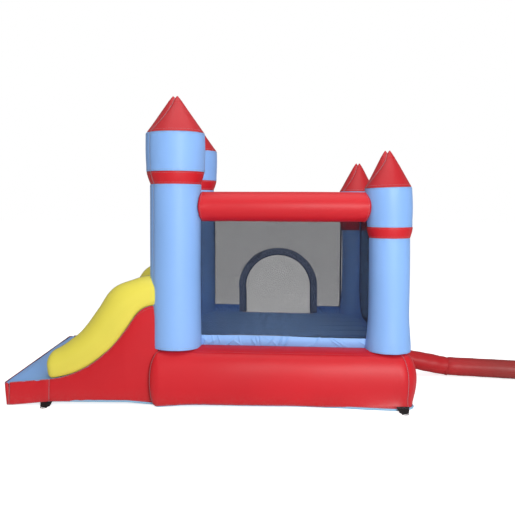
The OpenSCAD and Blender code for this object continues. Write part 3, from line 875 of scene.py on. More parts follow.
def addBeam(node, axis, ends, seed):
    # ends are (turret centre coordinate, turret radius, which way the beam leaves it)
    place = middle(node)
    radius = (high(node)[2] - low(node)[2]) / 2 + beam["swell"]
    angle = np.arange(beam["around"]) * tau / beam["around"] + math.pi / 2
    side, up = radius * np.cos(angle), radius * np.sin(angle)
    reach = [c + way * (r - beam["bite"] * (r - np.sqrt(r ** 2 - side ** 2)) - beam["tuck"]) for c, r, way in ends]
    t = evenEnds(beam["along"])[:, None]
    along = reach[0][None, :] * (1 - t) + reach[1][None, :] * t
    edge = np.minimum(np.abs(along - reach[0]), np.abs(along - reach[1]))
    pinch = np.clip(1 - edge / beam["pinchReach"], 0, 1) ** 2
    other = place[1 - axis]
    base = np.zeros(along.shape + (3,))
    base[..., axis] = along
    base[..., 1 - axis] = side
    base[..., 2] = up
    grow = 1 - beam["pinch"] * pinch / radius
    grow = grow + beam["pucker"] / radius * np.exp(-edge / 0.06) * ripple(base, seed, 40, 90)
    grow = grow + 0.002 / radius * ripple(base, seed + 1, 3, 9)
    seam = np.exp(-((angle + math.pi / 2) % tau * radius / 0.012) ** 2)
    skin = np.zeros(along.shape + (3,))
    skin[..., axis] = along
    skin[..., 1 - axis] = other + side * grow
    skin[..., 2] = place[2] + up * grow
    crease = np.clip(pinch + seam[None, :], 0, 1)
    addPiece(node + "Skin", tubeMesh(node, skin, crease), "red", "house", [node])
    for row in (9, -10):
        addStitches("house", skin[row] + (skin[row] - skin[row].mean(0)) * 0.004, closed=True)
    return skin


frontR = (high("front_near_column")[0] - low("front_near_column")[0]) / 2
rearR = (high("rear_near_drum")[0] - low("rear_near_drum")[0]) / 2 - 0.002
frontX, rearX = middle("front_near_column")[0], middle("rear_near_column")[0]
towerY = middle("front_far_column")[1]
addBeam("beam_near", 0, [(frontX, frontR, 1), (rearX, rearR, -1)], 501)
addBeam("beam_far", 0, [(frontX, frontR, 1), (rearX, rearR, -1)], 511)
addBeam("beam_front", 1, [(-towerY, frontR, 1), (towerY, frontR, -1)], 521)
addBeam("beam_rear", 1, [(-towerY, rearR, 1), (towerY, rearR, -1)], 531)
print("beams made")


# Bounce base

base = {
    "along": 620,
    "up": 50,
    "topIn": houseX - high("base_ledge")[0],
    "footIn": 0.040,
    "topDrop": 0.034,
    "frontCorner": 0.075,
    "rearCorner": 0.170,
    "puff": 0.012,
    "rearPuff": 0.026,      # the rear near corner bulges more than the rest
    "footSpread": 0.095,
    "pucker": 0.0020,
    "ledgePuff": 0.0015,
    "foot": 0.006,
    "zipFlatWidth": 0.27,
    "zipFlatHeight": 0.11,
}


def roundedPath(halfX, halfY, frontR, rearR, count):
    # Points and outward directions spaced evenly round a rectangle with round corners
    spots, ways = [], []
    for quarter, (sx, sy, r) in enumerate(((1, 1, rearR), (-1, 1, frontR), (-1, -1, frontR), (1, -1, rearR))):
        for a in np.linspace(0, math.pi / 2, 40) + quarter * math.pi / 2:
            spots.append((sx * (halfX - r) + r * math.cos(a), sy * (halfY - r) + r * math.sin(a)))
            ways.append((math.cos(a), math.sin(a)))
    spots, ways = np.array(spots + spots[:1]), np.array(ways + ways[:1])
    run = np.concatenate([[0], np.cumsum(np.linalg.norm(np.diff(spots, axis=0), axis=1))])
    even = np.arange(count) * run[-1] / count
    spots = np.stack([np.interp(even, run, spots[:, k]) for k in (0, 1)], -1)
    ways = np.stack([np.interp(even, run, ways[:, k]) for k in (0, 1)], -1)
    return spots, ways / np.linalg.norm(ways, axis=1, keepdims=True)


def roundOver(u, power, flat):
    return 1 - (1 - np.clip(u, 0, 1) ** power) ** (1 / flat)


zipMiddle = middle("zip_tape")


def addBaseWall():
    spots, ways = roundedPath(houseX, houseY, base["frontCorner"], base["rearCorner"], base["along"])
    t = evenEnds(base["up"])
    z = base["foot"] + (floorZ - base["topDrop"] - base["foot"]) * t
    topShare = base["topIn"] * roundOver((t - 0.4) / 0.6, 2.8, 2.0)
    topKeep = 1 - 0.5 * ease(0.2, 0.9, ways[:, 0])
    footShare = roundOver((0.5 - t) / 0.5, 3.4, 2.0)
    spread = base["footSpread"] * ease(0.25, 1.05, spots[:, 0]) * ease(0.2, -0.9, ways[:, 1])
    footIn = base["footIn"] + 0.012 * ease(0.3, 0.9, ways[:, 0]) - spread
    puff = base["puff"] + base["rearPuff"] * ease(-0.2, 0.8, ways[:, 0]) * ease(-0.25, -0.85, spots[:, 1])
    lean = -topShare[:, None] * topKeep[None] - footShare[:, None] * footIn[None] \
        + np.sin(math.pi * t)[:, None] * puff[None]
    points = np.zeros((len(t), len(spots), 3))
    points[..., :2] = spots[None] + ways[None] * lean[..., None]
    points[..., 2] = z[:, None]
    edge = np.minimum(z, floorZ - z)[:, None]
    seam = np.zeros(points.shape[:2])
    seamPicks = []
    for x, way in ((houseX - 0.085, 0.3), (-houseX + 0.012, 0.2)):
        for side in (-1, 1):
            far = np.abs(spots[:, 0] - x) + 10 * ((np.sign(ways[:, 1]) != side) | (np.abs(ways[:, 1]) < way))
            seamPicks.append(int(np.argmin(far)))
    for pick in seamPicks:
        seam = np.maximum(seam, np.exp(-(((spots - spots[pick]) ** 2).sum(-1) / 0.011 ** 2))[None])
    gain = base["pucker"] * np.exp(-edge / 0.04) * ripple(points * (1, 1, 0.3), 601, 50, 110)
    gain = gain + 0.0040 * ripple(points * (1, 1, 0.6), 602, 3, 9) * np.sin(math.pi * t)[:, None] ** 0.5
    gain = gain - 0.004 * seam
    # The zip needs a flat place on the rear wall
    flat = np.exp(-(np.abs(points[..., 1] - zipMiddle[1]) / base["zipFlatWidth"]) ** 6
                  - ((points[..., 2] - zipMiddle[2]) / base["zipFlatHeight"]) ** 4)
    flat = flat * (ways[None, :, 0] > 0.5)
    gain = gain * (1 - flat) - (puff[None] * np.sin(math.pi * t)[:, None] + 0.0006) * flat
    points[..., :2] += ways[None] * gain[..., None]
    points = settle(points)
    inner = points.copy()
    inner[..., :2] -= ways[None] * 0.004
    top, bottom = np.swapaxes(points, 0, 1), np.swapaxes(inner, 0, 1)
    crease = np.clip(np.exp(-edge / 0.010) * (t[:, None] < 0.5) + seam, 0, 1)
    data = slabMesh("base_wall", top, bottom, np.broadcast_to(crease, points.shape[:2]).T, wrap=True)
    addPiece("baseWallSkin", data, "red", "house", ["base_wall"])
    away = np.column_stack([ways, ways[:, 0] * 0])
    addStitches("house", points[6] + away * 0.0005, closed=True)
    for pick in seamPicks:
        addWelt("house", points[:, pick] + away[pick] * 0.0015)
    return points[-1], points[0], ways


def addLedge(rim):
    # The red strip on top, from the wall's rounded top in to the nets
    across = np.linspace(0, 1, 16)
    inner = rim.copy()
    inner[:, 0] = np.clip(rim[:, 0], frontX, rearX)
    inner[:, 1] = np.clip(rim[:, 1], -towerY, towerY)
    loops = rim[:, None] * (1 - across[None, :, None]) + inner[:, None] * across[None, :, None]
    inside = inner.copy()
    inside[:, 2] = floorZ - 0.004
    inside = settle(inside)
    crown = np.sin(across * math.pi / 2) ** 0.9
    loops[..., 2] = rim[:, 2, None] * (1 - crown) + inside[:, 2, None] * crown \
        + base["ledgePuff"] * np.sin(math.pi * across)[None, :] ** 0.7
    loops[:, 0] = rim
    below = loops - np.array([0, 0, 0.012])
    data = slabMesh("base_ledge", loops, below, wrap=True)
    addPiece("baseLedgeSkin", data, "red", "house", ["base_ledge"])


floorPad = {"ridges": 7, "puff": 0.020, "sink": 0.006, "acrossSteps": 170, "alongSteps": 120}


def addFloor():
    lo, hi = low("floor_sheet"), high("floor_sheet")
    x = np.linspace(lo[0], hi[0], floorPad["alongSteps"])
    y = np.linspace(lo[1], hi[1], floorPad["acrossSteps"])
    yGrid, xGrid = np.meshgrid(y, x)
    share = (yGrid - lo[1]) / (hi[1] - lo[1]) * floorPad["ridges"]
    hump = np.abs(np.sin(math.pi * share)) ** 0.55
    ends = np.minimum(xGrid - lo[0], hi[0] - xGrid)
    hump = hump * (1 - np.exp(-ends / 0.03))
    points = np.stack([xGrid, yGrid, floorZ - floorPad["sink"] + floorPad["puff"] * hump], -1)
    points[..., 2] += 0.002 * ripple(points * (1, 0.4, 0), 621, 20, 50) * np.exp(-hump * 3)
    points = settle(points)
    below = points.copy()
    below[..., 2] = points[..., 2].min() - 0.004
    data = slabMesh("floor_sheet", points, below, 1 - ease(0.0, 0.5, hump))
    addPiece("floorPad", data, "sky", "house", ["floor_sheet"])
    for k in range(1, floorPad["ridges"]):
        column = int(round(k / floorPad["ridges"] * (len(y) - 1)))
        addStitches("house", points[:, column] + np.array([0, 0, 0.0006]))


topRim, footRim, rimWays = addBaseWall()
addLedge(topRim)
addFloor()
print("bounce base made")


# Slide

slide = {
    "side": 0.030,          # how far the side panels bulge
    "reach": frontX - 0.150,    # where the side panels and the bolsters meet the front turrets
    "footFlare": 0.030,
    "lanes": 1,
    "lanePuff": 0.030,
    "cornerWrap": 0.036,
    "frontBulge": 0.022,
    "panelFoot": 0.008,
}


def slideOutline():
    # The slide's top line as the frame has it, from the front edge to the house, evenly spaced
    node = frame["nodes"]["slide_surface"]
    best = {}
    for v in node.data.vertices:
        key = round(v.co.x, 4)
        best[key] = max(best.get(key, 0), v.co.z)
    xs = np.array(sorted(best))
    zs = np.array([best[x] for x in xs])
    s = np.concatenate([[0], np.cumsum(np.hypot(np.diff(xs), np.diff(zs)))])
    even = np.linspace(0, s[-1], 150)
    line = np.stack([np.interp(even, s, xs), np.interp(even, s, zs)], -1)
    for _ in range(12):
        line[1:-1] = (line[:-2] + 2 * line[1:-1] + line[2:]) / 4
    return line


outline = slideOutline()
outlineWay = directions(outline)
outlineUp = np.stack([-outlineWay[:, 1], outlineWay[:, 0]], -1)
# The same line carried on, level, to the front turrets
more = np.linspace(outline[-1, 0], slide["reach"], 9)[1:]
longLine = np.concatenate([outline, np.column_stack([more, np.full(8, outline[-1, 1])])])
longWay = directions(longLine)
longUp = np.stack([-longWay[:, 1], longWay[:, 0]], -1)


def addSlideSurface():
    y = np.linspace(-slideHalf, slideHalf, 130)
    points = np.zeros((len(outline), len(y), 3))
    share = (y + slideHalf) / (2 * slideHalf) * slide["lanes"]
    hump = np.abs(np.sin(math.pi * share)) ** 0.6
    s = np.linspace(0, 1, len(outline))
    calm = np.minimum(1, np.minimum(s / 0.06, (1 - s) / 0.04))
    lift = slide["lanePuff"] * hump[None, :] * calm[:, None] - 0.004
    points[..., 0] = outline[:, 0, None] + outlineUp[:, 0, None] * lift
    points[..., 1] = y[None, :]
    points[..., 2] = outline[:, 1, None] + outlineUp[:, 1, None] * lift
    points[..., 2] += 0.0025 * ripple(points, 631, 5, 14)
    points = settleSlide(points)
    below = points - np.stack([outlineUp[:, 0], outlineUp[:, 0] * 0, outlineUp[:, 1]], -1)[:, None] * 0.006
    crease = np.broadcast_to((1 - ease(0, 0.4, hump))[None], points.shape[:2])
    addPiece("slideMat", slabMesh("slide_surface", points, below, crease), "mat", "house",
             ["slide_surface"])
    for k in range(1, slide["lanes"]):
        column = int(round(k / slide["lanes"] * (len(y) - 1)))
        addWelt("house", points[:, column] + np.array([0, 0, 0.001]))
    return points


def addSlideWall(side, node):
    start = np.searchsorted(longLine[:, 0], tipX + slide["cornerWrap"])
    top = longLine[start:].copy()
    rows = evenEnds(44)
    points = np.zeros((len(top), len(rows), 3))
    foot = slide["panelFoot"]
    points[..., 0] = top[:, 0, None]
    points[..., 2] = foot + (top[:, 1, None] - foot) * rows[None, :]
    tall = np.clip((top[:, 1] - 0.2) / 0.5, 0, 1)[:, None]
    bulge = np.sin(math.pi * rows)[None, :] ** 0.6 * (0.35 + 0.65 * tall)
    edge = np.minimum(points[..., 2] - foot, top[:, 1, None] - points[..., 2])
    out = slide["side"] * bulge + 0.0024 * np.exp(-edge / 0.04) * ripple(points * (1, 0, 0.4), 641, 40, 100)
    out = out + 0.003 * ripple(points, 642, 4, 12) * np.sin(math.pi * rows)[None, :]
    seamX = outline[np.argmax(outline[:, 1] > 0.2365), 0] + 0.038
    seam = np.exp(-((points[..., 0] - seamX) / 0.011) ** 2)
    flare = slide["footFlare"] * (1 - rows)[None, :] ** 2 * (1 - ease(-2.3, -1.6, points[..., 0]))
    points[..., 1] = side * (slideHalf + out + flare - 0.004 * seam)
    points = settleSlide(points)
    inner = points.copy()
    inner[..., 1] = side * (slideHalf - 0.004)
    crease = np.clip(np.exp(-edge / 0.012) * 0.8 + seam * 0.7, 0, 1)
    addPiece(node + "Skin", slabMesh(node, points, inner, crease), "red", "house", [node])
    addWelt("house", points[:, -1] + np.array([0, side * 0.001, 0.001]))
    addWelt("house", points[np.argmin(np.abs(top[:, 0] - seamX))] + np.array([0, side * 0.001, 0]))
    addWelt("house", points[0] + np.array([0, side * 0.001, 0]))
    for row in (-5, 5):
        addStitches("house", points[:, row] + np.array([0, side * 0.0006, 0]))


def addSlideFront():
    wrap, bend = slide["cornerWrap"], 0.018
    half = slideHalf
    turns = np.linspace(0, math.pi / 2, 7)
    left = [(tipX + wrap, -half)] + [(tipX + bend - bend * math.sin(a), -half + bend - bend * math.cos(a))
                                     for a in turns]
    face = [(tipX, y) for y in np.linspace(-half + bend, half - bend, 120)[1:-1]]
    right = [(x, -y) for x, y in reversed(left)]
    path = np.array(left + face + right)
    way = directions(path)
    out = np.stack([-way[:, 1], way[:, 0]], -1)
    rows = evenEnds(26)
    topZ = outline[0, 1]
    points = np.zeros((len(path), len(rows), 3))
    onFace = np.clip(np.minimum(path[:, 1] + half, half - path[:, 1]) / 0.15, 0, 1)[:, None]
    bulge = slide["frontBulge"] * np.sin(math.pi * rows)[None, :] ** 0.7 * (0.25 + 0.75 * onFace)
    drop = 0.016 * (1 - rows)[None, :] - 0.008 * rows[None, :] ** 2
    flare = slide["footFlare"] * (1 - rows)[None, :] ** 2 * np.sign(path[:, 1, None]) * (1 - onFace)
    points[..., 0] = path[:, 0, None] + out[:, 0, None] * bulge + drop
    points[..., 1] = path[:, 1, None] + out[:, 1, None] * bulge + flare
    points[..., 2] = slide["panelFoot"] + (topZ - slide["panelFoot"]) * rows[None, :]
    points = settleSlide(points)
    inner = points.copy()
    inner[..., 0] += 0.005 * onFace
    inner[..., 1] -= np.sign(points[..., 1]) * 0.004 * (1 - onFace)
    crease = np.broadcast_to(np.exp(-np.minimum(rows, 1 - rows) / 0.05)[None], points.shape[:2])
    addPiece("slideFrontSkin", slabMesh("slide_front", points, inner, crease), "red", "house",
             ["slide_front"])
    addWelt("house", points[:, -1])


bolster = {
    "around": 60,
    # radius at each share of the length, from the foot
    "radii": ((0.0, 0.114), (0.28, 0.143), (0.50, 0.149), (0.70, 0.149), (0.84, 0.159), (1.0, 0.121)),
    "proud": 0.024,         # how far the bolster stands outside the slide's side line
    "square": 0.42,
    "domeLength": 0.120,
    "y": abs(middle("bolster_near")[1]),
    "seamDepth": 0.005,
}


def addBolster(side, node):
    # A fat tube along the slide's edge, round-ended at the foot
    first = np.argmax(longLine[:, 1] > 0.2375)
    line, up = longLine[first:], longUp[first:]
    s = np.linspace(0, 1, len(line))
    radius = np.interp(s, *zip(*bolster["radii"]))
    for _ in range(14):
        radius[1:-1] = (radius[:-2] + 2 * radius[1:-1] + radius[2:]) / 4
    run = np.concatenate([[0], np.cumsum(np.linalg.norm(np.diff(line, axis=0), axis=1))])
    angle = np.arange(bolster["around"]) * tau / bolster["around"]
    c, k = np.cos(angle), np.sin(angle)
    # Outside and below, the tube squares off to meet the side panel's top edge
    power = np.where((c > 0) & (k < 0), bolster["square"], 1.0)
    wide = slideHalf + bolster["proud"] - bolster["y"]
    domes = [(f * bolster["domeLength"], f) for f in np.linspace(0, 1, 26)[1:]]
    rings = domes + [(r, 1.0) for r in run[np.searchsorted(run, bolster["domeLength"]) + 1:]]
    points = np.zeros((len(rings), len(angle), 3))
    for i, (here, f) in enumerate(rings):
        spot = np.array([np.interp(here, run, line[:, 0]), np.interp(here, run, line[:, 1])])
        lift = np.array([np.interp(here, run, up[:, 0]), np.interp(here, run, up[:, 1])])
        r = np.interp(here, run, radius)
        centre = spot + lift * (r * 0.97)
        above, below, across = ((1 - (1 - f) ** n) ** (1 / 2.2) for n in (2.4, 7.0, 4.0))
        tall = r * np.where(k > 0, above, below) * np.sign(k) * np.abs(k) ** power
        points[i, :, 0] = centre[0] + lift[0] * tall
        points[i, :, 2] = centre[1] + lift[1] * tall
        points[i, :, 1] = across * np.where(c > 0, wide, r) * np.sign(c) * np.abs(c) ** power
    flat = points[..., 1].copy()
    top = np.exp(-((angle - math.pi / 2) * 0.13 / 0.012) ** 2)
    points[..., 0] += 0.0025 * ripple(points, 651, 8, 22)
    points[..., 2] += 0.0025 * ripple(points, 652, 8, 22) - bolster["seamDepth"] * top[None, :]
    points[..., 1] = side * (bolster["y"] + flat)
    points = settleSlide(points)
    crease = np.broadcast_to(top[None] * 0.9, points.shape[:2])
    addPiece(node + "Skin", tubeMesh(node, points, crease), "yellow", "house", [node])
    crest = int(round(len(angle) / 4))
    addWelt("house", points[3:, crest] + np.array([0, 0, 0.002]))
    for shift in (-1, 1):
        addStitches("house", points[6:, crest + shift] + np.array([0, 0, 0.001]))


addSlideSurface()
addSlideWall(-1, "slide_wall_near")
addSlideWall(1, "slide_wall_far")
addSlideFront()
addBolster(-1, "bolster_near")
addBolster(1, "bolster_far")


def addStep():
    # The padded block between the front turrets, up to the slide's deck
    lo, hi = low("slide_step"), high("slide_step")
    around = 72
    angle = np.linspace(0, tau, around, endpoint=False)
    power = 0.28
    cx, cz = (lo[0] + hi[0]) / 2, (lo[2] + hi[2]) / 2
    hx, hz = (hi[0] - lo[0]) / 2, (hi[2] - lo[2]) / 2
    c, k = np.cos(angle), np.sin(angle)
    sx, sz = np.sign(c) * np.abs(c) ** power, np.sign(k) * np.abs(k) ** power
    y = lo[1] + (hi[1] - lo[1]) * evenEnds(60)
    edge = np.minimum(y - lo[1], hi[1] - y)
    grow = 1 - 0.10 * np.clip(1 - edge / 0.05, 0, 1) ** 2
    points = np.zeros((len(y), around, 3))
    points[..., 0] = cx + hx * sx[None] * grow[:, None]
    points[..., 1] = y[:, None]
    points[..., 2] = cz + hz * sz[None] * grow[:, None]
    points += 0.0015 * ripple(points, 661, 10, 30)[..., None]
    addPiece("slideStepPad", tubeMesh("slide_step", settle(points)), "sky", "house", ["slide_step"])


addStep()
print("slide made")


# Nets and bands

net = {"step": 0.012, "wave": 0.004, "edgeTape": 0.018}


def planeGrid(axis, place, lowA, highA, lowZ, highZ, step):
    a = np.linspace(lowA, highA, int((highA - lowA) / step) + 2)
    z = np.linspace(lowZ, highZ, int((highZ - lowZ) / step) + 2)
    zGrid, angleGrid = np.meshgrid(z, a)
    points = np.zeros(angleGrid.shape + (3,))
    points[..., 1 - axis] = angleGrid
    points[..., axis] = place
    points[..., 2] = zGrid
    return points


def sheetMesh(name, points, keep=None):
    rows, cols = points.shape[:2]
    data = buildMesh(name, points.reshape(-1, 3), gridFaces(rows, cols, keep=keep), clothUv(points))
    shape = bmesh.new()
    shape.from_mesh(data)
    bmesh.ops.delete(shape, geom=[v for v in shape.verts if not v.link_faces], context="VERTS")
    shape.to_mesh(data)
    shape.free()
    return data


def sheetArea(data):
    return sum(p.area for p in data.polygons)


def addNet(node, axis, place, lowA, highA, lowZ, highZ, paint, seed, hole=None):
    points = planeGrid(axis, place, lowA, highA, lowZ, highZ, net["step"])
    points[..., axis] += net["wave"] * ripple(points, seed, 3, 9)
    keep = None
    if hole is not None:
        centre = (points[:-1, :-1] + points[1:, 1:]) / 2
        keep = ~hole(centre)
    points = settle(points)
    data = sheetMesh(node, points, keep)
    piece = addPiece(node + "Sheet", data, paint, "house", [node])
    size = (highA - lowA, highZ - lowZ)
    area = sheetArea(data)
    None if hole is None else min(area, size[0] * size[1])
    return points


def strip(name, path, out, width, thick, paint, body="house", nodes=()):
    # A flat band along a path; out is the direction of its face at each point, and side across it
    path, out = np.asarray(path), np.asarray(out)
    way = directions(path)
    side = np.cross(way, out)
    corners = np.arange(12) * tau / 12
    flatness = np.sign(np.cos(corners)) * np.abs(np.cos(corners)) ** 0.35
    puff = np.sign(np.sin(corners)) * np.abs(np.sin(corners)) ** 0.8
    points = path[:, None] + side[:, None] * (flatness * width / 2)[None, :, None] \
        + out[:, None] * (puff * thick / 2)[None, :, None]
    return addPiece(name, tubeMesh(name, points), paint, body, nodes)


doorLow, doorHigh = low("door_binding"), high("door_binding")
door = {
    "x": (doorLow[0] + doorHigh[0]) / 2,
    "halfWidth": (doorHigh[0] - doorLow[0]) / 2 - 0.020,
    "crown": doorHigh[2] - 0.020,
    "binding": 0.080,
    "trim": 0.012,          # dark edging on the binding's inner edge
}


def doorPath(inset=0.0):
    r = door["halfWidth"] - inset
    spring = door["crown"] - door["halfWidth"]
    left = [(door["x"] - r + 0.008 * (1 - z / 8), z) for z in np.linspace(floorZ + 0.005, spring, 12)[:-1]]
    arc = [(door["x"] - r * math.cos(a), spring + r * math.sin(a)) for a in np.linspace(0, math.pi, 49)]
    right = [(door["x"] + r, z) for z in np.linspace(spring, floorZ + 0.005, 12)[1:]]
    return np.array([(x, towerY, z) for x, z in left + arc + right])


def inDoor(points):
    r = door["halfWidth"] - 0.012
    spring = door["crown"] - door["halfWidth"]
    x, z = points[..., 0] - door["x"], points[..., 2]
    return np.where(z > spring, x ** 2 + (z - spring) ** 2 < r ** 2, np.abs(x) < r)


bandTop = high("band_near")[2]
gapLeft = frontX + frontR - 0.004
gapRight = rearX - (high("rear_near_column")[0] - low("rear_near_column")[0]) / 2 + 0.004
addNet("net_near", 1, -towerY, gapLeft, gapRight, bandTop - 0.01, netZ + 0.02, "netNear", 701)
addNet("net_far", 1, towerY, gapLeft, gapRight, bandTop - 0.01, netZ + 0.02, "netFar", 711, hole=inDoor)

band = {"wrinkle": 0.012, "thickness": 0.003}


def addBand(node, y, lowX, highX, name, seed, nodes):
    side = math.copysign(1, y)
    x = np.linspace(lowX, highX, int((highX - lowX) / 0.0045))
    z = np.linspace(floorZ - 0.012, bandTop, 26)
    zGrid, xGrid = np.meshgrid(z, x)
    points = np.stack([xGrid, np.full_like(xGrid, y), zGrid], -1)
    rng = np.random.RandomState(seed)
    out = np.zeros_like(xGrid)
    for _ in range(26):    # slanting folds of their own length, width and slope
        cx, cz = rng.uniform(lowX, highX), rng.uniform(z[0], z[-1])
        slope, wide = rng.uniform(-1.2, 1.2), rng.uniform(0.005, 0.010)
        across = (xGrid - cx) * math.cos(slope) - (zGrid - cz) * math.sin(slope)
        along = (xGrid - cx) * math.sin(slope) + (zGrid - cz) * math.cos(slope)
        out += rng.uniform(0.4, 1.0) * np.exp(-(across / wide) ** 2 - (along / 0.055) ** 2)
    level = (zGrid - z[0]) / (z[-1] - z[0])
    points[..., 1] += side * (band["wrinkle"] * out * np.sin(math.pi * level) ** 0.6
                         + 0.012 * np.sin(math.pi * level))
    points = settle(points)
    inner = points - np.array([0, side * band["thickness"], 0])
    data = slabMesh(name, points, inner, np.clip(out, 0, 1) * 0.25)
    piece = addPiece(name, data, "sky", "house", nodes)
    highX - lowX
    for row in (0, -1):
        addWelt("house", points[:, row])


addBand("band_near", -towerY, gapLeft - 0.01, gapRight + 0.01, "bandNearCloth", 721, ["band_near"])
doorEdge = door["halfWidth"] - 0.01
addBand("band_far", towerY, gapLeft - 0.01, door["x"] - doorEdge, "bandFarFrontCloth", 722, ["band_far"])
addBand("band_far", towerY, door["x"] + doorEdge, gapRight + 0.01, "bandFarRearCloth", 723, ["band_far"])

arch = doorPath()
inward = np.tile(np.array([0, 1.0, 0]), (len(arch), 1))
strip("doorBindingTape", settle(arch), inward, door["binding"], 0.010, "slate", nodes=["door_binding"])
trimLine = doorPath(door["binding"] / 2)
strip("doorBindingTrim", settle(trimLine), inward, door["trim"], 0.013, "navy")


windowLow, windowHigh = low("net_rear"), high("net_rear")
window = {"half": (windowHigh[1] - windowLow[1]) / 2, "sill": windowLow[2], "corner": 0.30, "tape": 0.036}


def windowPath():
    h, r, sill = window["half"], window["corner"], window["sill"]
    left = [(-h, z) for z in np.linspace(netZ, sill + r, 20)[:-1]]
    bendA = [(-h + r - r * math.cos(a), sill + r - r * math.sin(a)) for a in np.linspace(0, math.pi / 2, 14)]
    flat = [(y, sill) for y in np.linspace(-h + r, h - r, 16)[1:-1]]
    rest = [(-y, z) for y, z in reversed(left + bendA)]
    return np.array([(rearX, y, z) for y, z in left + bendA + flat + rest])


def inWindow(points, grow=0.0):
    h, r, sill = window["half"] + grow, window["corner"], window["sill"] - grow
    y, z = np.abs(points[..., 1]), points[..., 2]
    corner = (y > h - r) & (z < sill + r)
    inside = (y < h) & (z > sill)
    return inside & (~corner | ((y - h + r) ** 2 + (z - sill - r) ** 2 < r ** 2))


rearGap = towerY - (high("rear_near_column")[0] - low("rear_near_column")[0]) / 2 + 0.004
addNet("net_rear", 0, rearX, -window["half"], window["half"], window["sill"], netZ + 0.02, "netRear", 731,
       hole=lambda points: ~inWindow(points, 0.02))
panel = planeGrid(0, rearX, -rearGap, rearGap, floorZ - 0.012, netZ + 0.02, net["step"])
panelKeep = ~inWindow((panel[:-1, :-1] + panel[1:, 1:]) / 2)
panel[..., 0] += 0.003 * ripple(panel, 741, 4, 16)
panel = settle(panel)
panelData = sheetMesh("rear_panel", panel, panelKeep)
panelPiece = addPiece("rearPanelCloth", panelData, "sky", "house", ["rear_panel"])
edgePath = windowPath()
strip("windowTape", settle(edgePath), np.tile(np.array([1.0, 0, 0]), (len(edgePath), 1)), window["tape"], 0.007,
      "navy")
for label, x, y in (("NearFront", gapLeft - 0.008, -towerY), ("NearRear", gapRight + 0.008, -towerY),
                    ("FarFront", gapLeft + 0.010, towerY), ("FarRear", gapRight - 0.010, towerY)):
    path = np.array([(x, y, z) for z in np.linspace(bandTop - 0.02, netZ + 0.015, 40)])
    strip("netTape" + label, settle(path), np.tile(np.array([0, 1.0, 0]), (len(path), 1)), net["edgeTape"], 0.004,
          "navy")
print("nets made")


# Ground sheet and foot piping

piping = {"radius": 0.0095, "height": 0.0105}


def addGroundSheet():
    rim, half = footRim[:, :2], slideHalf + 0.006
    kept = (np.abs(rim[:, 1]) > half) | (rim[:, 0] > 0)
    order = np.roll(np.arange(len(rim)), -np.argmax(kept & ~np.roll(kept, 1)))
    house = rim[order][kept[order]]
    steps = np.linspace(house[0, 0] - 0.02, tipX + 0.02, 90)
    far = np.column_stack([steps, np.full(90, half)])
    front = np.column_stack([np.full(90, tipX + 0.008), np.linspace(half - 0.02, 0.02 - half, 90)])
    near = far[::-1] * (1, -1)
    outlinePath = np.concatenate([house, far, front, near])
    z = np.maximum(piping["height"] + footLift(outlinePath[:, 0]), piping["radius"])
    ring = np.column_stack([outlinePath, z])
    for _ in range(3):
        ring = (np.roll(ring, 1, 0) + 2 * ring + np.roll(ring, -1, 0)) / 4
    count = len(ring)
    heart = np.array([-0.6, 0.0])
    loops = []
    for share in (1.0, 0.97, 0.93, 0.88, 0.82, 0.75, 0.66):
        flat = heart + (ring[:, :2] - heart) * share
        loops.append(np.column_stack([flat, 0.0035 + (ring[:, 2] - 0.0035) * (share - 0.66) / 0.34]))
    verts = np.concatenate(loops + [loop - np.array([0, 0, 0.003]) for loop in loops])
    levels, faces = len(loops), []
    for k in range(levels - 1):
        for i in range(count):
            a, b = k * count + i, k * count + (i + 1) % count
            faces.append([a, b, b + count, a + count])
            c = levels * count
            faces.append([a + c, a + count + c, b + count + c, b + c])
    for i in range(count):
        j = (i + 1) % count
        faces.append([i, i + levels * count, j + levels * count, j])
    last = (levels - 1) * count
    faces.append([last + i for i in range(count)])
    faces.append([last + levels * count + i for i in range(count)][::-1])
    data = buildMesh("ground_sheet", verts, faces, verts[:, :2])
    shape = bmesh.new()
    shape.from_mesh(data)
    bmesh.ops.triangulate(shape, faces=[f for f in shape.faces if len(f.verts) > 4])
    bmesh.ops.recalc_face_normals(shape, faces=shape.faces)
    shape.to_mesh(data)
    shape.free()
    piece = addPiece("groundSheetCloth", data, "piping", "house", ["ground_sheet"])
    return ring


footRing = addGroundSheet()
growPiece("footPiping", lineMesh("footPiping", [np.concatenate([footRing, footRing[:2]])]), weltTree("piping"),
          {"Radius": piping["radius"]}, "piping", "house")


# Blower tube

duct = {
    "radius": (high("duct_mouth")[2] - low("duct_mouth")[2]) / 2,
    "around": 72,
    "mouthLength": 0.150,
    "clearance": 0.003,     # least height over the ground
    "yaw": math.radians(-12),
    "z": middle("duct_mouth")[2],
    "pucker": 0.0018,
}
joints = {j["name"]: j for j in frame["joints"]}
creaseAt = np.array(joints["tube_swing"]["pos_m"])


def tubeAlong(path, radii, seed, pucker):
    way = directions(path)
    side = np.cross(way, np.array([0, 0, 1.0]))
    side /= np.linalg.norm(side, axis=1, keepdims=True)
    up = np.cross(side, way)
    angle = np.arange(duct["around"]) * tau / duct["around"]
    points = np.zeros((len(path), len(angle), 3))
    for i in range(len(path)):
        r = radii[i]
        points[i] = path[i] + r * np.cos(angle)[:, None] * side[i] + r * np.sin(angle)[:, None] * up[i]
    centre = path[:, None]
    wobble = pucker[:, None] * ripple(points, seed, 30, 80) + 0.0022 * ripple(points, seed + 1, 8, 20)
    away = (points - centre) / np.maximum(np.linalg.norm(points - centre, axis=-1, keepdims=True), 1e-6)
    points = points + away * wobble[..., None]
    points[..., 2] = np.maximum(points[..., 2], duct["clearance"])
    return points


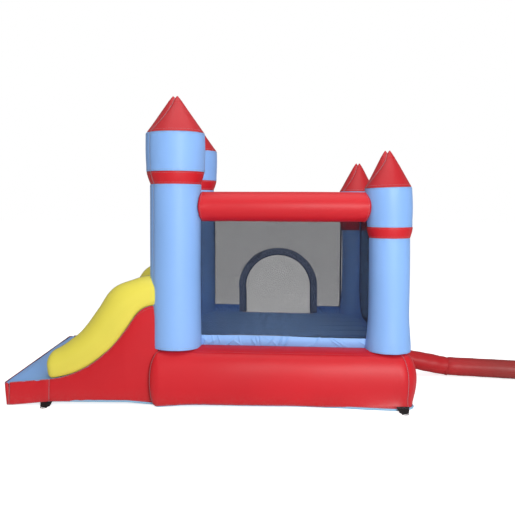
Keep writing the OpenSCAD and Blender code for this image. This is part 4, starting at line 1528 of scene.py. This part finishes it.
def addSleeve():
    start = np.array([houseX - 0.055, 0, high("duct_sleeve")[2] - duct["radius"]])
    t = np.linspace(0, 1, 90)[:, None]
    end = creaseAt + np.array([0.02, 0, -0.002])
    path = start * (1 - t) + end * t
    t = t[:, 0]
    radii = duct["radius"] * (1 + 0.08 * np.exp(-t / 0.12)) * (1 - 0.03 * np.exp(-((t - 0.97) / 0.03) ** 2))
    pucker = 0.0010 + 0.0025 * np.exp(-t / 0.06) + duct["pucker"] * np.exp(-((t - 1) / 0.08) ** 2)
    points = tubeAlong(path, radii, 801, pucker)
    crease = np.broadcast_to((0.8 * np.exp(-((t - 1) / 0.05) ** 2))[:, None], points.shape[:2])
    data = tubeMesh("duct_sleeve", points, crease)
    piece = bpy.data.objects.new("blowerSleeve", data)
    bpy.context.collection.objects.link(piece)
    data.materials.append(paints["brick"])
    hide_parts("duct_sleeve")
    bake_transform(piece)
    line = points[2] + (points[2] - points[2].mean(0)) * 0.01
    addWelt("house", line, closed=True)


def ductPath(a, b, count):
    d = np.linspace(a, b, count)
    x = creaseAt[0] + d * math.cos(duct["yaw"])
    y = creaseAt[1] + d * math.sin(duct["yaw"])
    return np.stack([x, y, np.full_like(x, duct["z"])], -1), d


def addDuct():
    mouthEnd = (high("duct_mouth")[0] - creaseAt[0]) / math.cos(duct["yaw"]) \
        - duct["radius"] * math.tan(abs(duct["yaw"]))
    mouthLong = duct["mouthLength"]
    path, d = ductPath(-0.012, mouthEnd - mouthLong, 110)
    radii = duct["radius"] * (1 - 0.05 * np.exp(-(d / 0.022) ** 2))
    pucker = 0.0010 + 0.0022 * np.exp(-np.abs(d) / 0.05)
    points = tubeAlong(path, radii, 811, pucker)
    crease = np.broadcast_to((0.9 * np.exp(-(d / 0.03) ** 2))[:, None], points.shape[:2])
    addPiece("blowerTube", tubeMesh("duct", points, crease), "brick", "blower_tube", ["duct"])
    path, d = ductPath(mouthEnd - mouthLong - 0.004, mouthEnd, 46)
    outer = tubeAlong(path, np.full(len(d), duct["radius"]), 811, np.full(len(d), 0.0012))
    inner = path[:, None] + (outer - path[:, None]) * (1 - 0.004 / duct["radius"])
    top, bottom = np.swapaxes(outer, 0, 1), np.swapaxes(inner, 0, 1)
    addPiece("blowerMouth", slabMesh("duct_mouth", top, bottom, wrap=True), "brick", "blower_tube",
             ["duct_mouth"])
    hoops = {"blowerCuff": (mouthEnd - 0.050, mouthEnd + 0.001, 0.0032, "navy", "navy_binding", "duct_cuff"),
             "blowerStrap": (mouthEnd - mouthLong + 0.025, mouthEnd - mouthLong + 0.050, 0.0026, "webbing",
                             "webbing", "duct_strap")}
    for name, (a, b, thick, paint, slotName, node) in hoops.items():
        path, d = ductPath(a, b, 12)
        outer = tubeAlong(path, np.full(len(d), duct["radius"] + thick * 0.3), 811, np.full(len(d), 0.0012))
        cover = path[:, None] + (outer - path[:, None]) * (1 + thick / duct["radius"])
        cover[..., 2] = np.maximum(cover[..., 2], 0.0005)
        top, bottom = np.swapaxes(cover, 0, 1), np.swapaxes(outer, 0, 1)
        addPiece(name, slabMesh(node, top, bottom, wrap=True), paint, "blower_tube", [node])
    addWelt("tube", points[-2], closed=True)


addSleeve()
addDuct()
print("blower tube made")


# Anchors

anchor = {"tabWidth": 0.046, "patchWidth": 0.112, "patchDepth": 0.062}


def addAnchor(label, ringNode, side):
    lo, hi = low(ringNode), high(ringNode)
    x = (lo[0] + hi[0]) / 2
    barY = (low(ringNode)[1] if side > 0 else high(ringNode)[1]) + side * 0.003
    rimY = barY - side * 0.062
    eye = (hi[2] + lo[2]) / 2
    r = 0.0055
    # One strap: out along the ground, round the bar and back over itself to the patch
    under = [(x, y, 0.0022) for y in np.linspace(rimY - side * 0.01, barY, 14)]
    bend = [(x, barY + side * r * math.sin(a), eye - r * math.cos(a)) for a in np.linspace(0.3, math.pi - 0.3, 9)]
    overZ = np.concatenate([np.linspace(eye + r, 0.0075, 6), np.linspace(0.0078, 0.026, 10)])
    over = [(x, y, z) for y, z in zip(np.linspace(barY, rimY - side * 0.004, 16), overZ)]
    path = np.array(under + bend + over)
    way = directions(path)
    face = np.cross(way, np.array([1.0, 0, 0])) * side
    strip("anchorStrap" + label, path, face, anchor["tabWidth"], 0.0024, "webbing",
          nodes=["anchor_tabs"])
    # The reinforcing patch that spreads the pull along the foot seam
    u = np.linspace(-1, 1, 34)
    v = np.linspace(0, 1, 18)
    vGrid, uGrid = np.meshgrid(v, u)
    half = anchor["patchWidth"] / 2 * (1 - 0.30 * vGrid)
    points = np.zeros(uGrid.shape + (3,))
    points[..., 0] = x + uGrid * half
    points[..., 1] = rimY + side * (vGrid * anchor["patchDepth"] - 0.014)
    rumple = 0.004 * np.abs(ripple(points, 901 + int(side), 60, 130)) * (1 - vGrid * 0.6)
    points[..., 2] = 0.034 * (1 - vGrid) ** 1.4 + 0.0065 + rumple
    below = points.copy()
    below[..., 2] = np.maximum(points[..., 2] - 0.0028, 0.0008)
    addPiece("anchorPatch" + label, slabMesh("anchor_patch", points, below), "webbing", "house")
    addStitches("house", [tuple(points[3 + k, 3] + np.array([0, 0, 0.0006])) for k in range(28)])


for label, ringNode, side in (("SlideNear", "ring_slide_near", -1), ("SlideFar", "ring_slide_far", 1),
                              ("RearNear", "ring_rear_near", -1), ("RearFar", "ring_rear_far", 1)):
    addAnchor(label, ringNode, side)


def repaint(node, paint):
    slots = frame["nodes"][node].material_slots
    for spot in slots:
        spot.material = paints[paint]


for node in ("ring_slide_near", "ring_slide_far", "ring_rear_near", "ring_rear_far"):
    repaint(node, "steel")
repaint("zip_slider", "zinc")
repaint("duct_buckle", "plastic")
repaint("floor_baffles", "sky")
repaint("slide_baffles", "sky")
repaint("slide_back", "red")
repaint("zip_tape", "navy")
repaint("zip_flap", "red")


# All seams

weltSizes = {"Radius": 0.0012}
stitchSizes = {"Pitch": 0.0115, "Length": 0.0078, "Thickness": 0.0007}
cord = weltTree("thread")
stitch = stitchTree("thread")
growPiece("seamWelts", lineMesh("seamWelts", welts["house"]), cord, weltSizes, "thread", "house")
growPiece("tubeWelt", lineMesh("tubeWelt", welts["tube"]), cord, weltSizes, "thread", "blower_tube")
growPiece("seamStitches", lineMesh("seamStitches", stitchRows["house"]), stitch, stitchSizes, "thread", "house")
print("seams made")

addCamera()
addStudio()
total = sum(len(o.data.polygons) for o in bpy.data.objects if o.type == "MESH")
print("polygons:", total)
